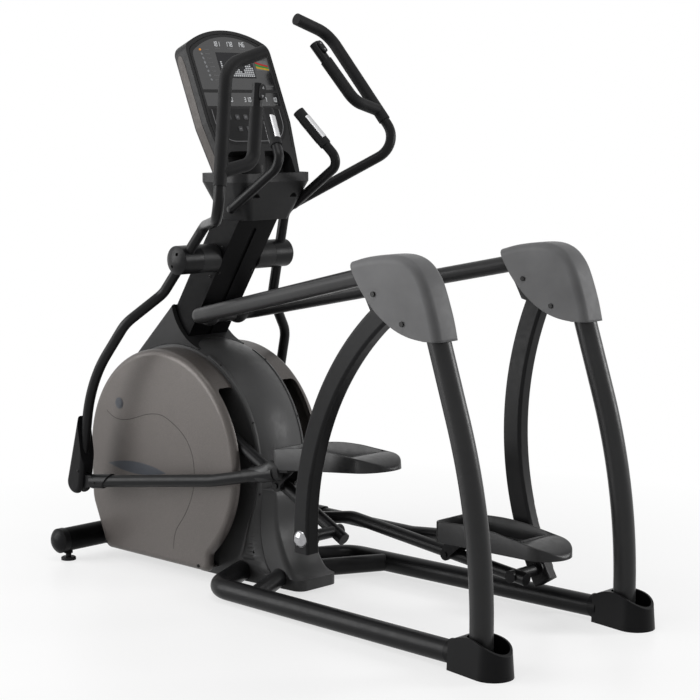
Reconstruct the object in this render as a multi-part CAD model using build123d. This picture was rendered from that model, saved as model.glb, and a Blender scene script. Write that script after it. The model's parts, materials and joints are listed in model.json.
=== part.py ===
from build123d import *
import math
import os

# Elliptical trainer whose pedals hang from swing arms at the rear and turn a crank at the front.
# Millimetres. +Z is up, +Y is the front (the user faces it) and -X is the user's left.
# The origin lies on the floor below the middle of the machine.
# Points in the side view are (y, z). Every right-hand piece is drawn at +x and mirrored for the left.

os.makedirs("parts", exist_ok=True)

LEFT = -1
RIGHT = 1
SIDES = {"left": LEFT, "right": RIGHT}

# Clearances
SEAT = 0.2            # between fixed curved faces
RUN = 0.05            # radial, between a pin and its bore
SIDE_GAP = 0.5        # between moving faces that slide past each other

# Floor frame
STABILISER_OD = 76.0
STABILISER_WALL = 3.0
STABILISER_HALF = 322.0
STABILISER_Y = 902.0
STABILISER_Z = 67.0
CAP_WALL = 2.0
CAP_REACH = 26.0
CAP_SKIRT = 14.0
FOOT_X = 290.0
FOOT_PAD_R = 24.0
FOOT_PAD_H = 10.0
FOOT_STEM_R = 9.0
FOOT_BOSS_R = 14.0
FOOT_BOSS_Z = 22.0
RAIL_OD = 62.0
RAIL_WALL = 3.0
RAIL_Z = 36.5
RAIL_BEND_X = 288.0
RAIL_BEND_Y = 196.0
RAIL_BEND_R = 90.0
RAIL_END_Y = 330.0
CROSS_OD = 54.0
CROSS_OUTER_Y = 28.0
CROSS_INNER_Y = 180.0
BEAM_HALF = 30.0
BEAM_WALL = 4.0
BEAM_LOW = 30.0
BEAM_TOP = 90.0
BEAM_REAR_Y = 130.0

# Uprights and shoulders
UPRIGHT_X = 315.0
UPRIGHT_Y = -848.0
UPRIGHT_OD = 63.5
UPRIGHT_WALL = 3.0
UPRIGHT_FOOT_Z = 12.0
UPRIGHT_BEND_Z = 378.0
UPRIGHT_LEAN = 15.3
UPRIGHT_BEND_R = 1700.0
UPRIGHT_TOP_Z = 935.0
BOOT_REAR_Y = -942.0
BOOT_HALF = 56.0
BOOT_HEIGHT = 98.0
BOOT_FRONT_Z = 78.0
BOOT_REAR_Z = 52.0
BOOT_RIM = 12.0
BOOT_FRONT_Y = -742.0
BOOT_WALL = 6.0
COVER_HALF = 47.0
COVER_WALL = 4.0
BRACKET_HALF = 41.0
BRACKET_PLATE = 8.0
SPIGOT = 50.0
BOLT_R = 7.0
BOLT_H = 4.0

# Upper rails and the tube behind the mast
UPPER_OD = 49.0
UPPER_WALL = 2.5
UPPER_START = (330.0, -440.0, 1003.0)
ELBOW_X = 114.0
ELBOW_R = 42.0
UPPER_SPLIT_X = 66.0
UPPER_CROSS_UP = 118.0
JOINT_BALL_R = 34.0
JOINT_BALL_X = 60.0
JOINT_BALL_HALF = 20.0

# Mast, leaning back as it rises
MAST_FOOT = (551.0, 724.0)
MAST_LEAN = 32.4
MAST_HALF = 81.0
MAST_DEPTH = 105.0
MAST_LENGTH = 487.0
MAST_SINK = 70.0
MAST_WALL = 3.5
MAST_CORNER = 16.0
REAR_PANEL = 6.0
SLOT_HALF = 9.0
SLOT_DEPTH = 4.0
POST_HALF = 36.0
POST_FRONT = 78.0
POST_REAR = 14.0
POST_WALL = 4.0
POST_LOW = -190.0
POST_RISE = 60.0        # above the top of the mast's covers

# Drive housing
HOUSING_C = (566.0, 356.0)
HOUSING_R = 348.0
REAR_LIP_ANGLE = 229.5
HOUSING_HEEL_Y = 344.0
HOUSING_KNEE = (909.0, 189.0)
HOUSING_TOE_Y = 840.0
SPINE_R = 356.0
SPINE_CROWN = 20.0
SPINE_HALF = 102.0
COVER_DISH_X = 187.0
COVER_RIM_R = 20.0
HOUSING_WALL = 4.0
HOUSING_BOTTOM = 32.0
SLOT_IN = 98.0
SLOT_OUT = 164.0
SLOT_TOP_Z = 604.0
SLOT_CORNER = 16.0
SLOT_LOW_Z = -20.0
TAIL_TIP_Y = 47.0
TAIL_TOP_Z = 300.0
TAIL_TOP_Y = 188.0
TAIL_HALF = 80.0
TAIL_LIP = 38.0
TAIL_CORNER = 30.0
TAIL_CURVE = 0.42
FLANK_LOW_Y = 318.0
FLANK_TOP_Y = 219.0

# Linkage, solved in the side view
SWING_PIVOT = (-550.0, 938.0)
SWING_LENGTH = 808.0
CRANK_C = (565.8, 369.7)
CRANK_R = 291.8
CRANK_ANGLE = 49.75
TUBE_RUN = 640.0       # from the swing pivot to the bend of the pedal tube
TUBE_TURN = 16.0
TUBE_NOSE = 342.0      # from the bend to the crank pin
KNEE_RUN = 237.0       # from the swing pivot to the pedal bracket's pin
HANDLE_PIVOT = (427.0, 992.0)
HANDLE_DROP = 839.0
LINK_LENGTH = 788.0

# Moving pieces across the machine
TUBE_X = 138.0
TUBE_OD = 38.0
TUBE_WALL = 3.0
TUBE_TAIL = 42.0
HUB_R = 26.0
SWING_TOP_X = 315.0
SWING_LOW_X = 255.0
SWING_BOW = 97.0
SWING_THICK = 46.0
SWING_DEEP = 62.0
SWING_WALL = 4.0
SWING_EYE_LIP = 2.0
SWING_TOE = 42.0
SWING_HUB_R = 36.0
SWING_PIN_R = 15.0
LOW_PIN_R = 12.0
DOME_R = 21.0
DOME_H = 12.0
KNEE_PIN_R = 8.0
KNEE_BOSS_R = 17.0
EAR_IN = 24.0
EAR_THICK = 8.0
EAR_R = 18.0
BRACKET_FLOOR = 8.0
PEDAL_IN = 40.0
PEDAL_OUT = 196.0
PEDAL_FRONT = -12.0
PEDAL_LENGTH = 420.0
PEDAL_RISE = 52.0
PEDAL_WALL = 6.0
PEDAL_FLOOR = 12.0
PEDAL_TOP = 68.0
TREAD_RIBS = 9
TREAD_PITCH = 13.0
RIB_H = 2.0
LINK_OD = 38.0
LINK_WALL = 3.0
LINK_X_REAR = 188.0
LINK_X_FRONT = 284.0
TONGUE_HALF = 11.0
TONGUE_R = 24.0
STUB_R = 5.0
STUB_PLAY = 7.0
LINK_SETBACK = 60.0
LINK_BEND = (215.0, 226.0, 14.0)
LINK_BEND_R = 160.0
KNUCKLE_HALF = 27.0
KNUCKLE_R = 36.0
BOOT_RISE = 200.0

# Moving handles
ARM_OD = 32.0
ARM_WALL = 2.5
ARM_X = 200.0
GRIP_OD = 38.0
HANDLE_HUB_R = 44.0
HANDLE_HUB_IN = 152.0
HANDLE_HUB_OUT = 226.0
HANDLE_CAP = 12.0
CAP_HOLE_R = 5.0
AXLE_R = 12.5
AXLE_HALF = 205.0

# Crank, pulley and flywheel
PLATE_IN = 36.0
PLATE_OUT = 46.0
CRANK_AXLE_R = 15.0
CRANK_IN = 103.5
CRANK_OUT = 117.5
CRANK_BOSS_R = 24.0
PULLEY_R = 150.0
PULLEY_X = (15.0, 33.0)
BELT_THICK = 3.0
FLYWHEEL_C = (772.0, 300.0)
FLYWHEEL_R = 125.0
FLYWHEEL_X = (-31.0, 8.0)
DRIVEN_R = 28.0
FLYWHEEL_AXLE_R = 10.0
BEARING_R = 26.0
IDLER_R = 22.0

# Console and fixed handles
CONSOLE_FOOT = (302.0, 1308.0)
CONSOLE_LEAN = 22.6
CONSOLE_LOW = -84.0         # lower end of the housing, along its face
CONSOLE_WAIST = 105.0       # where the sides stop widening
CONSOLE_HALF_LOW = 148.0
CONSOLE_HALF_TOP = 174.0
CONSOLE_SIDE = 356.0
CONSOLE_CROWN = 408.0
CONSOLE_DEEP = 62.0
CONSOLE_EDGE = 10.0
CONSOLE_CORNER = 36.0
CONSOLE_GROOVE = 11.0       # from the housing's edge to the groove round its face
CONSOLE_BEZEL = 22.0        # from the housing's edge to the windows
DISPLAY_LOW = 212.0
STRIP_LOW = 158.0
STRIP_TOP = 202.0
KEYPAD_LOW = 34.0
KEYPAD_TOP = 150.0
KEYPAD_ROUND = 72.0
POCKET_TOP = 12.0
POCKET_SIDE = 15.0
POCKET_DEEP = 48.0
COLUMN_R = (50.0, 36.0)     # of the round column between the cup holders, at its foot and top
COLUMN_Y = 330.0
DISPLAY_RECESS = 3.0
TRAY_TOP_Z = 1228.0
TRAY_RIM = 26.0
TRAY_WALL = 7.0
TRAY_CORNER = 40.0
TRAY_REAR_Y = 222.0
TRAY_FRONT_Y = 410.0
TRAY_HALF = 156.0
CUP_R = 35.0
CUP_X = 77.0
CUP_Y = 266.0
CUP_FLOOR_Z = 1180.0
PULSE_OD = 29.0
PULSE_GRIP_OD = 36.0
PULSE_GRIP = 135.0
SWITCH_BACK = 26.0
SWITCH_LIFT = 1.8


def lean_point(pivot, length, lean):
    """The end of an arm that hangs from a pivot and leans forward by so many degrees."""
    angle = math.radians(lean)
    return (pivot[0] + length * math.sin(angle), pivot[1] - length * math.cos(angle))


def slope_point(start, length, slope):
    """The point at a length from a start along a line that rises forward by so many degrees."""
    angle = math.radians(slope)
    return (start[0] + length * math.cos(angle), start[1] + length * math.sin(angle))


def slope_of(start, end):
    """The rise of the line from start to end, in degrees."""
    return math.degrees(math.atan2(end[1] - start[1], end[0] - start[0]))


def meet(a, radius_a, b, radius_b):
    """The lower of the two points at radius_a from a and radius_b from b."""
    span = math.dist(a, b)
    run = (radius_a**2 - radius_b**2 + span**2) / (2 * span)
    off = math.sqrt(radius_a**2 - run**2)
    unit = ((b[0] - a[0]) / span, (b[1] - a[1]) / span)
    foot = (a[0] + run * unit[0], a[1] + run * unit[1])
    ends = [(foot[0] - s * off * unit[1], foot[1] + s * off * unit[0]) for s in (1, -1)]
    return min(ends, key=lambda p: p[1])


def solve_side(side):
    """Where each pivot of one side's linkage stands, and the angle of each of its bars."""
    turn = math.radians(CRANK_ANGLE) if side == LEFT else math.radians(CRANK_ANGLE + 180)
    pin = (CRANK_C[0] + CRANK_R * math.cos(turn), CRANK_C[1] + CRANK_R * math.sin(turn))
    bend = math.radians(TUBE_TURN)
    nose = (TUBE_RUN + TUBE_NOSE * math.cos(bend), -TUBE_NOSE * math.sin(bend))
    chord = math.hypot(*nose)
    low = meet(SWING_PIVOT, SWING_LENGTH, pin, chord)
    tube = slope_of(low, pin) - math.degrees(math.atan2(nose[1], nose[0]))
    knee = slope_point(low, KNEE_RUN, tube)
    joint = meet(HANDLE_PIVOT, HANDLE_DROP, knee, LINK_LENGTH)
    swing = slope_of(SWING_PIVOT, low) + 90
    handle = slope_of(HANDLE_PIVOT, joint) + 90
    link = slope_of(knee, joint)
    return dict(pin=pin, low=low, knee=knee, joint=joint, tube=tube, swing=swing, handle=handle, link=link)


POSE = {side: solve_side(side) for side in (LEFT, RIGHT)}
STANDING = (Align.CENTER, Align.CENTER, Align.MIN)


def put(shape, side, pivot, angle):
    """Turns a right-hand shape drawn round the origin to its angle, and stands it on its pivot and side."""
    placed = Pos(0, pivot[0], pivot[1]) * Rot(X=angle) * shape
    return placed if side == RIGHT else mirror(placed, about=Plane.YZ)


def on_side(shape, side):
    """A fixed right-hand shape, mirrored for the left."""
    return shape if side == RIGHT else mirror(shape, about=Plane.YZ)


def both(shape):
    """A right-hand shape and its mirror image, as separate solids of one node."""
    return Compound(children=[*shape.solids(), *mirror(shape, about=Plane.YZ).solids()])


def prism(outline, x0, x1):
    """Solid from x0 to x1 with a closed side outline drawn in (y, z)."""
    face = Plane.YZ * make_face(outline)
    return Pos(x0, 0, 0) * extrude(face, amount=x1 - x0, dir=(1, 0, 0))


def polygon(*points):
    """Closed outline of straight edges."""
    return Polyline(*points, close=True)


def rod(radius, x0, x1, at):
    """Cylinder along X from x0 to x1 through the side-view point at."""
    return Pos((x0 + x1) / 2, at[0], at[1]) * Rot(Y=90) * Cylinder(radius, x1 - x0)


def ring(outer, inner, x0, x1, at):
    """Hollow cylinder along X."""
    return rod(outer, x0, x1, at) - rod(inner, x0, x1, at)


def pipe(points, radii, od, wall=0.0):
    """Round bar or tube along straight runs with a bend of its own radius at each corner."""
    path = FilletPolyline(*points, radius=radii) if radii else Line(*points)
    section = Circle(od / 2) - Circle(od / 2 - wall) if wall else Circle(od / 2)
    return sweep(Plane(path @ 0, z_dir=path % 0) * section, path=path)


def save(name, shape):
    """Writes one node."""
    shape.label = name
    export_step(shape, f"parts/{name}.step")


# Floor frame

def front_stabiliser():
    at = (STABILISER_Y, STABILISER_Z)
    boss = Pos(FOOT_X, STABILISER_Y, (FOOT_BOSS_Z + STABILISER_Z) / 2)
    boss *= Cylinder(FOOT_BOSS_R, STABILISER_Z - FOOT_BOSS_Z)
    bar = rod(STABILISER_OD / 2, -STABILISER_HALF, STABILISER_HALF, at)
    bar += boss + mirror(boss, about=Plane.YZ)
    return bar - rod(STABILISER_OD / 2 - STABILISER_WALL, -STABILISER_HALF, STABILISER_HALF, at)


def stabiliser_end_caps():
    at = (STABILISER_Y, STABILISER_Z)
    radius = STABILISER_OD / 2 + CAP_WALL
    shoulder = STABILISER_HALF + 6
    cap = rod(radius, STABILISER_HALF - CAP_SKIRT, shoulder, at)
    cap += Pos(shoulder, *at) * Rot(Y=90) * dome_cap(radius, CAP_REACH - 6)
    return both(cap - rod(STABILISER_OD / 2 + SEAT, 0, STABILISER_HALF, at))


def levelling_feet():
    pad = Cylinder(FOOT_PAD_R, FOOT_PAD_H, align=(Align.CENTER, Align.CENTER, Align.MIN))
    pad = fillet(pad.edges().group_by(Axis.Z)[-1], FOOT_PAD_H * 0.4)
    stem = Cylinder(FOOT_STEM_R, FOOT_BOSS_Z, align=(Align.CENTER, Align.CENTER, Align.MIN))
    return both(Pos(FOOT_X, STABILISER_Y, 0) * (pad + stem))


def rail_path():
    return [
        (UPRIGHT_X, UPRIGHT_Y, RAIL_Z),
        (RAIL_BEND_X, RAIL_BEND_Y, RAIL_Z),
        (0, RAIL_END_Y, RAIL_Z),
    ]


def cross_path():
    return [(RAIL_BEND_X + 6, CROSS_OUTER_Y, RAIL_Z), (0, CROSS_INNER_Y, RAIL_Z)]


def beam_block():
    outline = polygon(
        (BEAM_REAR_Y, BEAM_LOW), (STABILISER_Y, BEAM_LOW), (STABILISER_Y, BEAM_TOP), (BEAM_REAR_Y, BEAM_TOP)
    )
    return prism(outline, -BEAM_HALF, BEAM_HALF)


def base_rail():
    tube = pipe(rail_path(), [RAIL_BEND_R], RAIL_OD, RAIL_WALL)
    tube -= upright_bar(UPRIGHT_OD + 2 * SEAT)
    return tube - Box(2 * BEAM_HALF, 4000, 400)


def cross_tube():
    tube = pipe(cross_path(), [], CROSS_OD, RAIL_WALL)
    tube -= pipe(rail_path(), [RAIL_BEND_R], RAIL_OD + 2 * SEAT)
    tube -= Box(2 * BEAM_HALF, 4000, 400)
    return max(tube.solids(), key=lambda s: s.volume)


def plate_outline():
    """Side of the posts that carry the crank, the flywheel and the mast."""
    cy, cz = CRANK_C
    fly_y, fly_z = FLYWHEEL_C
    return polygon(
        (cy - 150, BEAM_TOP),
        (fly_y + 40, BEAM_TOP),
        (fly_y + 46, fly_z),
        (fly_y + 20, fly_z + 44),
        (cy + 96, cz + 40),
        mast_point(POST_FRONT - 6, -80),
        mast_point(POST_REAR + 6, -80),
        (cy - 60, cz + 20),
        (cy - 70, cz - 60),
    )


def mast_point(forward, up):
    """Side-view point at a distance forward of the mast's rear face and up along it."""
    angle = math.radians(MAST_LEAN)
    y = MAST_FOOT[0] + forward * math.cos(angle) - up * math.sin(angle)
    z = MAST_FOOT[1] + forward * math.sin(angle) + up * math.cos(angle)
    return (y, z)


def mast_plane(up):
    """Plane across the mast: local x is across the machine and local y is forward of the rear face."""
    y, z = mast_point(0, up)
    angle = math.radians(MAST_LEAN)
    return Plane((0, y, z), x_dir=(1, 0, 0), z_dir=(0, -math.sin(angle), math.cos(angle)))


def mast_bar(x0, x1, rear, front, low, high):
    """Bar along the mast with a rectangular section."""
    section = Pos((x0 + x1) / 2, (rear + front) / 2) * Rectangle(x1 - x0, front - rear)
    return extrude(mast_plane(low) * section, amount=high - low)


def mast_room(low, high):
    """Space that the mast takes up, with its clearance."""
    half = MAST_HALF + SEAT
    return mast_bar(-half, half, -SEAT, MAST_DEPTH + SEAT, low, high)


def post_room(low, high):
    """Space that the mast's inner post takes up, with its clearance."""
    half = POST_HALF + SEAT
    return mast_bar(-half, half, POST_REAR - SEAT, POST_FRONT + SEAT, low, high)


def mast_channel(half, front, corner, low, high):
    """Bar along the mast whose two front corners are rounded."""
    rear = REAR_PANEL
    section = make_face(
        [
            Line((-half, rear), (half, rear)),
            Line((half, rear), (half, front - corner)),
            RadiusArc((half, front - corner), (half - corner, front), -corner),
            Line((half - corner, front), (corner - half, front)),
            RadiusArc((corner - half, front), (-half, front - corner), -corner),
            Line((-half, front - corner), (-half, rear)),
        ]
    )
    return extrude(mast_plane(low) * section, amount=high - low)


def main_frame():
    frame = beam_block()
    hollow = prism(
        polygon(
            (BEAM_REAR_Y - 1, BEAM_LOW + BEAM_WALL),
            (STABILISER_Y, BEAM_LOW + BEAM_WALL),
            (STABILISER_Y, BEAM_TOP - BEAM_WALL),
            (BEAM_REAR_Y - 1, BEAM_TOP - BEAM_WALL),
        ),
        BEAM_WALL - BEAM_HALF,
        BEAM_HALF - BEAM_WALL,
    )
    frame -= hollow
    foot_y = CRANK_C[0] - 150
    toe_y = FLYWHEEL_C[0] + 40
    sole = polygon((foot_y, BEAM_TOP), (toe_y, BEAM_TOP), (toe_y, BEAM_TOP + 8), (foot_y, BEAM_TOP + 8))
    frame += prism(sole, -PLATE_OUT, PLATE_OUT)
    for x0 in (PLATE_IN, -PLATE_OUT):
        frame += prism(plate_outline(), x0, x0 + PLATE_OUT - PLATE_IN)
        frame += rod(BEARING_R + 8, x0, x0 + PLATE_OUT - PLATE_IN, CRANK_C)
    frame += rod(6, idler_x()[0], PLATE_IN, idler_point())
    frame -= rod(BEARING_R + SEAT, -PLATE_OUT, PLATE_OUT, CRANK_C)
    frame -= rod(FLYWHEEL_AXLE_R + SEAT, -PLATE_OUT, PLATE_OUT, FLYWHEEL_C)
    return frame - rod(STABILISER_OD / 2 + SEAT, -PLATE_OUT, PLATE_OUT, (STABILISER_Y, STABILISER_Z))


# Rear frame

def upright_path():
    top_y = UPRIGHT_Y + (UPRIGHT_TOP_Z - UPRIGHT_BEND_Z) * math.tan(math.radians(UPRIGHT_LEAN))
    return [
        (UPRIGHT_X, UPRIGHT_Y, UPRIGHT_FOOT_Z),
        (UPRIGHT_X, UPRIGHT_Y, UPRIGHT_BEND_Z),
        (UPRIGHT_X, top_y, UPRIGHT_TOP_Z),
    ]


def upright_bar(od, wall=0.0):
    return pipe(upright_path(), [UPRIGHT_BEND_R], od, wall)


def boot_side():
    """Side view of a foot boot: rising from the rail to the upright, then falling to the heel."""
    rear = BOOT_REAR_Y - 10
    front = BOOT_FRONT_Y - 20
    return [
        Polyline((rear, BOOT_REAR_Z), (rear, 0), (front, 0), (front, BOOT_FRONT_Z)),
        Spline((front, BOOT_FRONT_Z), (UPRIGHT_Y + UPRIGHT_OD / 2, BOOT_HEIGHT), (rear, BOOT_REAR_Z)),
    ]


def foot_boot():
    """Moulded boot: a shoe whose oval mouth slopes back round the upright, and a sleeve along the rail."""
    toe_r = RAIL_OD / 2 + BOOT_WALL
    heel = (0, BOOT_REAR_Y + BOOT_HALF)
    plan = hull_bar(heel, BOOT_HALF, (0, BOOT_FRONT_Y - 20), toe_r)
    shoe = extrude(make_face(plan), amount=BOOT_HEIGHT + 20, taper=4)
    shoe &= prism(boot_side(), -BOOT_HALF, BOOT_HALF)
    mouth = hull_bar(heel, BOOT_HALF - BOOT_RIM, (0, UPRIGHT_Y), UPRIGHT_OD / 2 + BOOT_WALL)
    shoe -= Pos(0, 0, UPRIGHT_FOOT_Z + 8) * extrude(make_face(mouth), amount=200)
    boot = Pos(UPRIGHT_X, 0, 0) * shoe
    sleeve = pipe([rail_path()[0], between(*rail_path()[:2], 0.1)], [], 2 * toe_r)
    trim = Box(200, 120, 400, align=(Align.CENTER, Align.MIN, Align.CENTER))
    keep = Box(200, 400, 400, align=(Align.CENTER, Align.MIN, Align.CENTER))
    sleeve &= Pos(UPRIGHT_X, BOOT_FRONT_Y - 30, RAIL_Z) * keep
    boot += sleeve - Pos(UPRIGHT_X, BOOT_FRONT_Y, RAIL_Z) * Rot(X=-30) * trim
    boot -= Pos(UPRIGHT_X, UPRIGHT_Y, -200) * Box(900, 900, 400)
    boot -= pipe(rail_path(), [RAIL_BEND_R], RAIL_OD + 2 * SEAT)
    return boot - upright_bar(UPRIGHT_OD + 2 * SEAT)


def shoulder_edges(lower):
    """Side outline of a shoulder cover, with its lower edge moved down by a distance."""
    nose = (-418.0, 1043.0)
    crown = (-534.0, 1068.0)
    heel = (-642.0, 1075.0)
    back = (-747.0, 853.0)
    low = (-696.0, 852.0)
    low_back = (back[0], back[1] - lower)
    low_nose = (nose[0] + lower, nose[1] - lower)
    return [
        ThreePointArc(nose, crown, heel),
        ThreePointArc(heel, (-690.0, 999.0), back),
        *([Line(back, low_back)] if lower else []),
        Line(low_back, (low[0], low[1] - lower)),
        ThreePointArc((low[0], low[1] - lower), (-540.0 + lower * 0.7, 898.0 - lower * 0.7), low_nose),
        *([Line(low_nose, nose)] if lower else []),
    ]


def shoulder_cavity(wall):
    """Space inside a shoulder cover, open below."""
    inner = Plane.YZ * offset(make_face(shoulder_edges(60)), -wall, kind=Kind.INTERSECTION)
    half = COVER_HALF - wall
    return Pos(-half, 0, 0) * extrude(inner, amount=2 * half, dir=(1, 0, 0))


def shoulder_cover():
    """Deep moulded cap over the top of an upright, open along its lower edge for the swing arm."""
    shell = prism(shoulder_edges(0), -COVER_HALF, COVER_HALF)
    upper = [f for f in shell.faces().filter_by(GeomType.CYLINDER) if f.center().Z > 960]
    rim = [e for f in upper for e in f.edges() if abs(abs(e.center().X) - COVER_HALF) < 0.1]
    shell = Pos(UPRIGHT_X, 0, 0) * (fillet(rim, 13) - shoulder_cavity(COVER_WALL))
    return shell - upright_bar(UPRIGHT_OD + 2 * SEAT) - upper_rail_bar(UPPER_OD + 2 * SEAT)


def shoulder_bolts():
    """Button heads on both faces of each shoulder cover."""
    heads = []
    for at in ((-509.0, 963.0), (-611.0, 892.0)):
        for x in (UPRIGHT_X + COVER_HALF, UPRIGHT_X - COVER_HALF - BOLT_H):
            heads.append(rod(BOLT_R, x, x + BOLT_H, at))
    return both(Compound(children=heads))


def shoulder_bracket():
    """Two plates that join the upright to the upper rail and carry the swing arm's pivot pin."""
    outline = polygon(
        (-705.0, 905.0), (-640.0, 890.0), (-580.0, 885.0), (-500.0, 905.0), (-455.0, 985.0),
        (-455.0, 1060.0), (-560.0, 1065.0), (-640.0, 1070.0), (-690.0, 990.0),
    )
    inner = BRACKET_HALF - BRACKET_PLATE
    bracket = prism(outline, inner, BRACKET_HALF) + prism(outline, -BRACKET_HALF, -inner)
    bracket += rod(SWING_PIN_R, -BRACKET_HALF, BRACKET_HALF, SWING_PIVOT)
    block = polygon((-505.0, 998.0), (-432.0, 984.0), (-432.0, 1036.0), (-505.0, 1044.0))
    bracket += prism(block, -BRACKET_HALF, BRACKET_HALF)
    cheek = polygon((-712.0, 930.0), (-656.0, 915.0), (-640.0, 1000.0), (-690.0, 995.0))
    bracket += prism(cheek, -BRACKET_HALF, BRACKET_HALF)
    bracket = Pos(UPRIGHT_X, 0, 0) * (bracket & shoulder_cavity(COVER_WALL + 1))
    bracket -= upright_bar(UPRIGHT_OD + 2 * SEAT) + upper_rail_bar(UPPER_OD + 2 * SEAT)
    return bracket + upright_spigot() + rail_spigot()


def upright_spigot():
    """Stub that fills the top of an upright."""
    path = upright_path()
    rise = (Vector(*path[2]) - Vector(*path[1])).normalized()
    start = Plane(Vector(*path[2]) - rise * SPIGOT, z_dir=rise)
    return extrude(start * Circle(UPRIGHT_OD / 2 - UPRIGHT_WALL - SEAT), amount=SPIGOT)


def rail_spigot():
    """Stub that fills the rear end of an upper rail."""
    start = Vector(*UPPER_START)
    along = (Vector(*elbow_point()) - start).normalized()
    return extrude(Plane(start, z_dir=along) * Circle(UPPER_OD / 2 - UPPER_WALL - SEAT), amount=SPIGOT)


# Upper rails

def elbow_point():
    y, z = mast_point(-UPPER_OD / 2 - SEAT, UPPER_CROSS_UP)
    return (ELBOW_X, y, z)


def upper_rail_path():
    _, y, z = elbow_point()
    return [UPPER_START, elbow_point(), (0, y, z)]


def upper_rail_bar(od, wall=0.0):
    return pipe(upper_rail_path(), [ELBOW_R], od, wall)


def upper_rail():
    return upper_rail_bar(UPPER_OD, UPPER_WALL) - Box(2 * UPPER_SPLIT_X, 4000, 4000)


def rail_cross_tube():
    at = elbow_point()[1:]
    tube = ring(UPPER_OD / 2, UPPER_OD / 2 - UPPER_WALL, -UPPER_SPLIT_X, UPPER_SPLIT_X, at)
    return tube


def rail_joint_cover():
    """Moulded ball over the joint between an upper rail and the tube behind the mast."""
    at = elbow_point()[1:]
    ball = Pos(JOINT_BALL_X, at[0], at[1]) * Sphere(JOINT_BALL_R)
    ball &= Pos(JOINT_BALL_X, at[0], at[1]) * Box(2 * JOINT_BALL_HALF, 3 * JOINT_BALL_R, 3 * JOINT_BALL_R)
    ball -= rod(UPPER_OD / 2 + SEAT, 0, 400, at)
    return ball - mast_bar(-MAST_HALF - SEAT, MAST_HALF + SEAT, -SEAT, MAST_DEPTH, 0, MAST_LENGTH)


# Mast

def mast_post():
    post = mast_bar(-POST_HALF, POST_HALF, POST_REAR, POST_FRONT, POST_LOW, MAST_LENGTH + POST_RISE)
    hollow = mast_bar(
        POST_WALL - POST_HALF, POST_HALF - POST_WALL, POST_REAR + POST_WALL, POST_FRONT - POST_WALL,
        POST_LOW - 1, MAST_LENGTH + POST_RISE + 1,
    )
    post = post - hollow - rod(AXLE_R + SEAT, -200, 200, HANDLE_PIVOT)
    return post - rod(PULLEY_R + 30, -200, 200, CRANK_C)


def mast_front_cover():
    """Deep channel that forms the front and both sides of the mast."""
    bar = mast_channel(MAST_HALF, MAST_DEPTH, MAST_CORNER, -MAST_SINK, MAST_LENGTH)
    inner_corner = MAST_CORNER - MAST_WALL
    half, front = MAST_HALF - MAST_WALL, MAST_DEPTH - MAST_WALL
    bar -= mast_channel(half, front, inner_corner, -MAST_SINK, MAST_LENGTH)
    return bar - rod(AXLE_R + SEAT, -200, 200, HANDLE_PIVOT)


def mast_rear_cover():
    """Panel on the rear of the mast with a long round-ended slot and a lip that seats on the post."""
    panel = mast_bar(-MAST_HALF, MAST_HALF, 0, REAR_PANEL, -MAST_SINK, MAST_LENGTH)
    low, high = -20.0, MAST_LENGTH - 60
    y, z = mast_point(0, (low + high) / 2)
    across = mast_plane(0)
    rear_face = Plane((0, y, z), x_dir=across.z_dir, z_dir=across.y_dir)
    panel -= extrude(rear_face * SlotOverall(high - low, 2 * SLOT_HALF), amount=SLOT_DEPTH)
    for x in (-POST_HALF, POST_HALF - 6):
        panel += mast_bar(x, x + 6, REAR_PANEL, POST_REAR, 0, MAST_LENGTH - 20)
    return panel


def pivot_sleeve():
    """Fixed inner half of a handle pivot housing."""
    return ring(HANDLE_HUB_R, AXLE_R + SEAT, MAST_HALF + SEAT, HANDLE_HUB_IN - SIDE_GAP, HANDLE_PIVOT)


def pivot_axle():
    return rod(AXLE_R, -AXLE_HALF, AXLE_HALF, HANDLE_PIVOT)


def housing_face():
    """Side outline of a side cover: round above, flatter towards its foot."""
    rear_pt = slope_point(HOUSING_C, HOUSING_R, REAR_LIP_ANGLE)
    top = slope_point(HOUSING_C, HOUSING_R, 90)
    front_pt = slope_point(HOUSING_C, HOUSING_R, 0)
    toe = (HOUSING_TOE_Y, HOUSING_BOTTOM)
    heel = (HOUSING_HEEL_Y, HOUSING_BOTTOM)
    face = make_face(
        [
            ThreePointArc(rear_pt, top, front_pt),
            Line(front_pt, HOUSING_KNEE),
            Line(HOUSING_KNEE, toe),
            Line(toe, heel),
            Line(heel, rear_pt),
        ]
    )
    corners = face.vertices().sort_by(Axis.Y)
    face = fillet(corners[:2], 26)
    knee = [v for v in face.vertices() if math.dist((v.X, v.Y), HOUSING_KNEE) < 1]
    face = fillet(knee, 110)
    lip = [v for v in face.vertices() if math.dist((v.X, v.Y), rear_pt) < 1]
    return fillet(lip, 24)


def housing_prism(inset, depth):
    """Solid of the side cover's outline, drawn in by a distance, from the middle plane outward."""
    face = offset(housing_face(), -inset) if inset else housing_face()
    return extrude(Plane.YZ * face, amount=depth, dir=(1, 0, 0))


# Drive housing

def side_cover():
    """Cover over one crank with a round rim, open inside, and a tall slot at its rear for the pedal tube."""
    start = SPINE_HALF + SEAT
    body = Pos(start, 0, 0) * housing_prism(0, COVER_DISH_X - start)
    body = fillet(body.faces().sort_by(Axis.X)[-1].edges(), COVER_RIM_R)
    body -= housing_prism(HOUSING_WALL, COVER_DISH_X - COVER_RIM_R)
    body -= housing_prism(COVER_RIM_R, COVER_DISH_X - HOUSING_WALL)
    slot = Box(SLOT_OUT - SLOT_IN, 200, SLOT_TOP_Z - SLOT_LOW_Z)
    slot = fillet(slot.edges().filter_by(Axis.Y).sort_by(Axis.Z)[-2:], SLOT_CORNER)
    return body - Pos((SLOT_IN + SLOT_OUT) / 2, 290, (SLOT_TOP_Z + SLOT_LOW_Z) / 2) * slot


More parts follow.
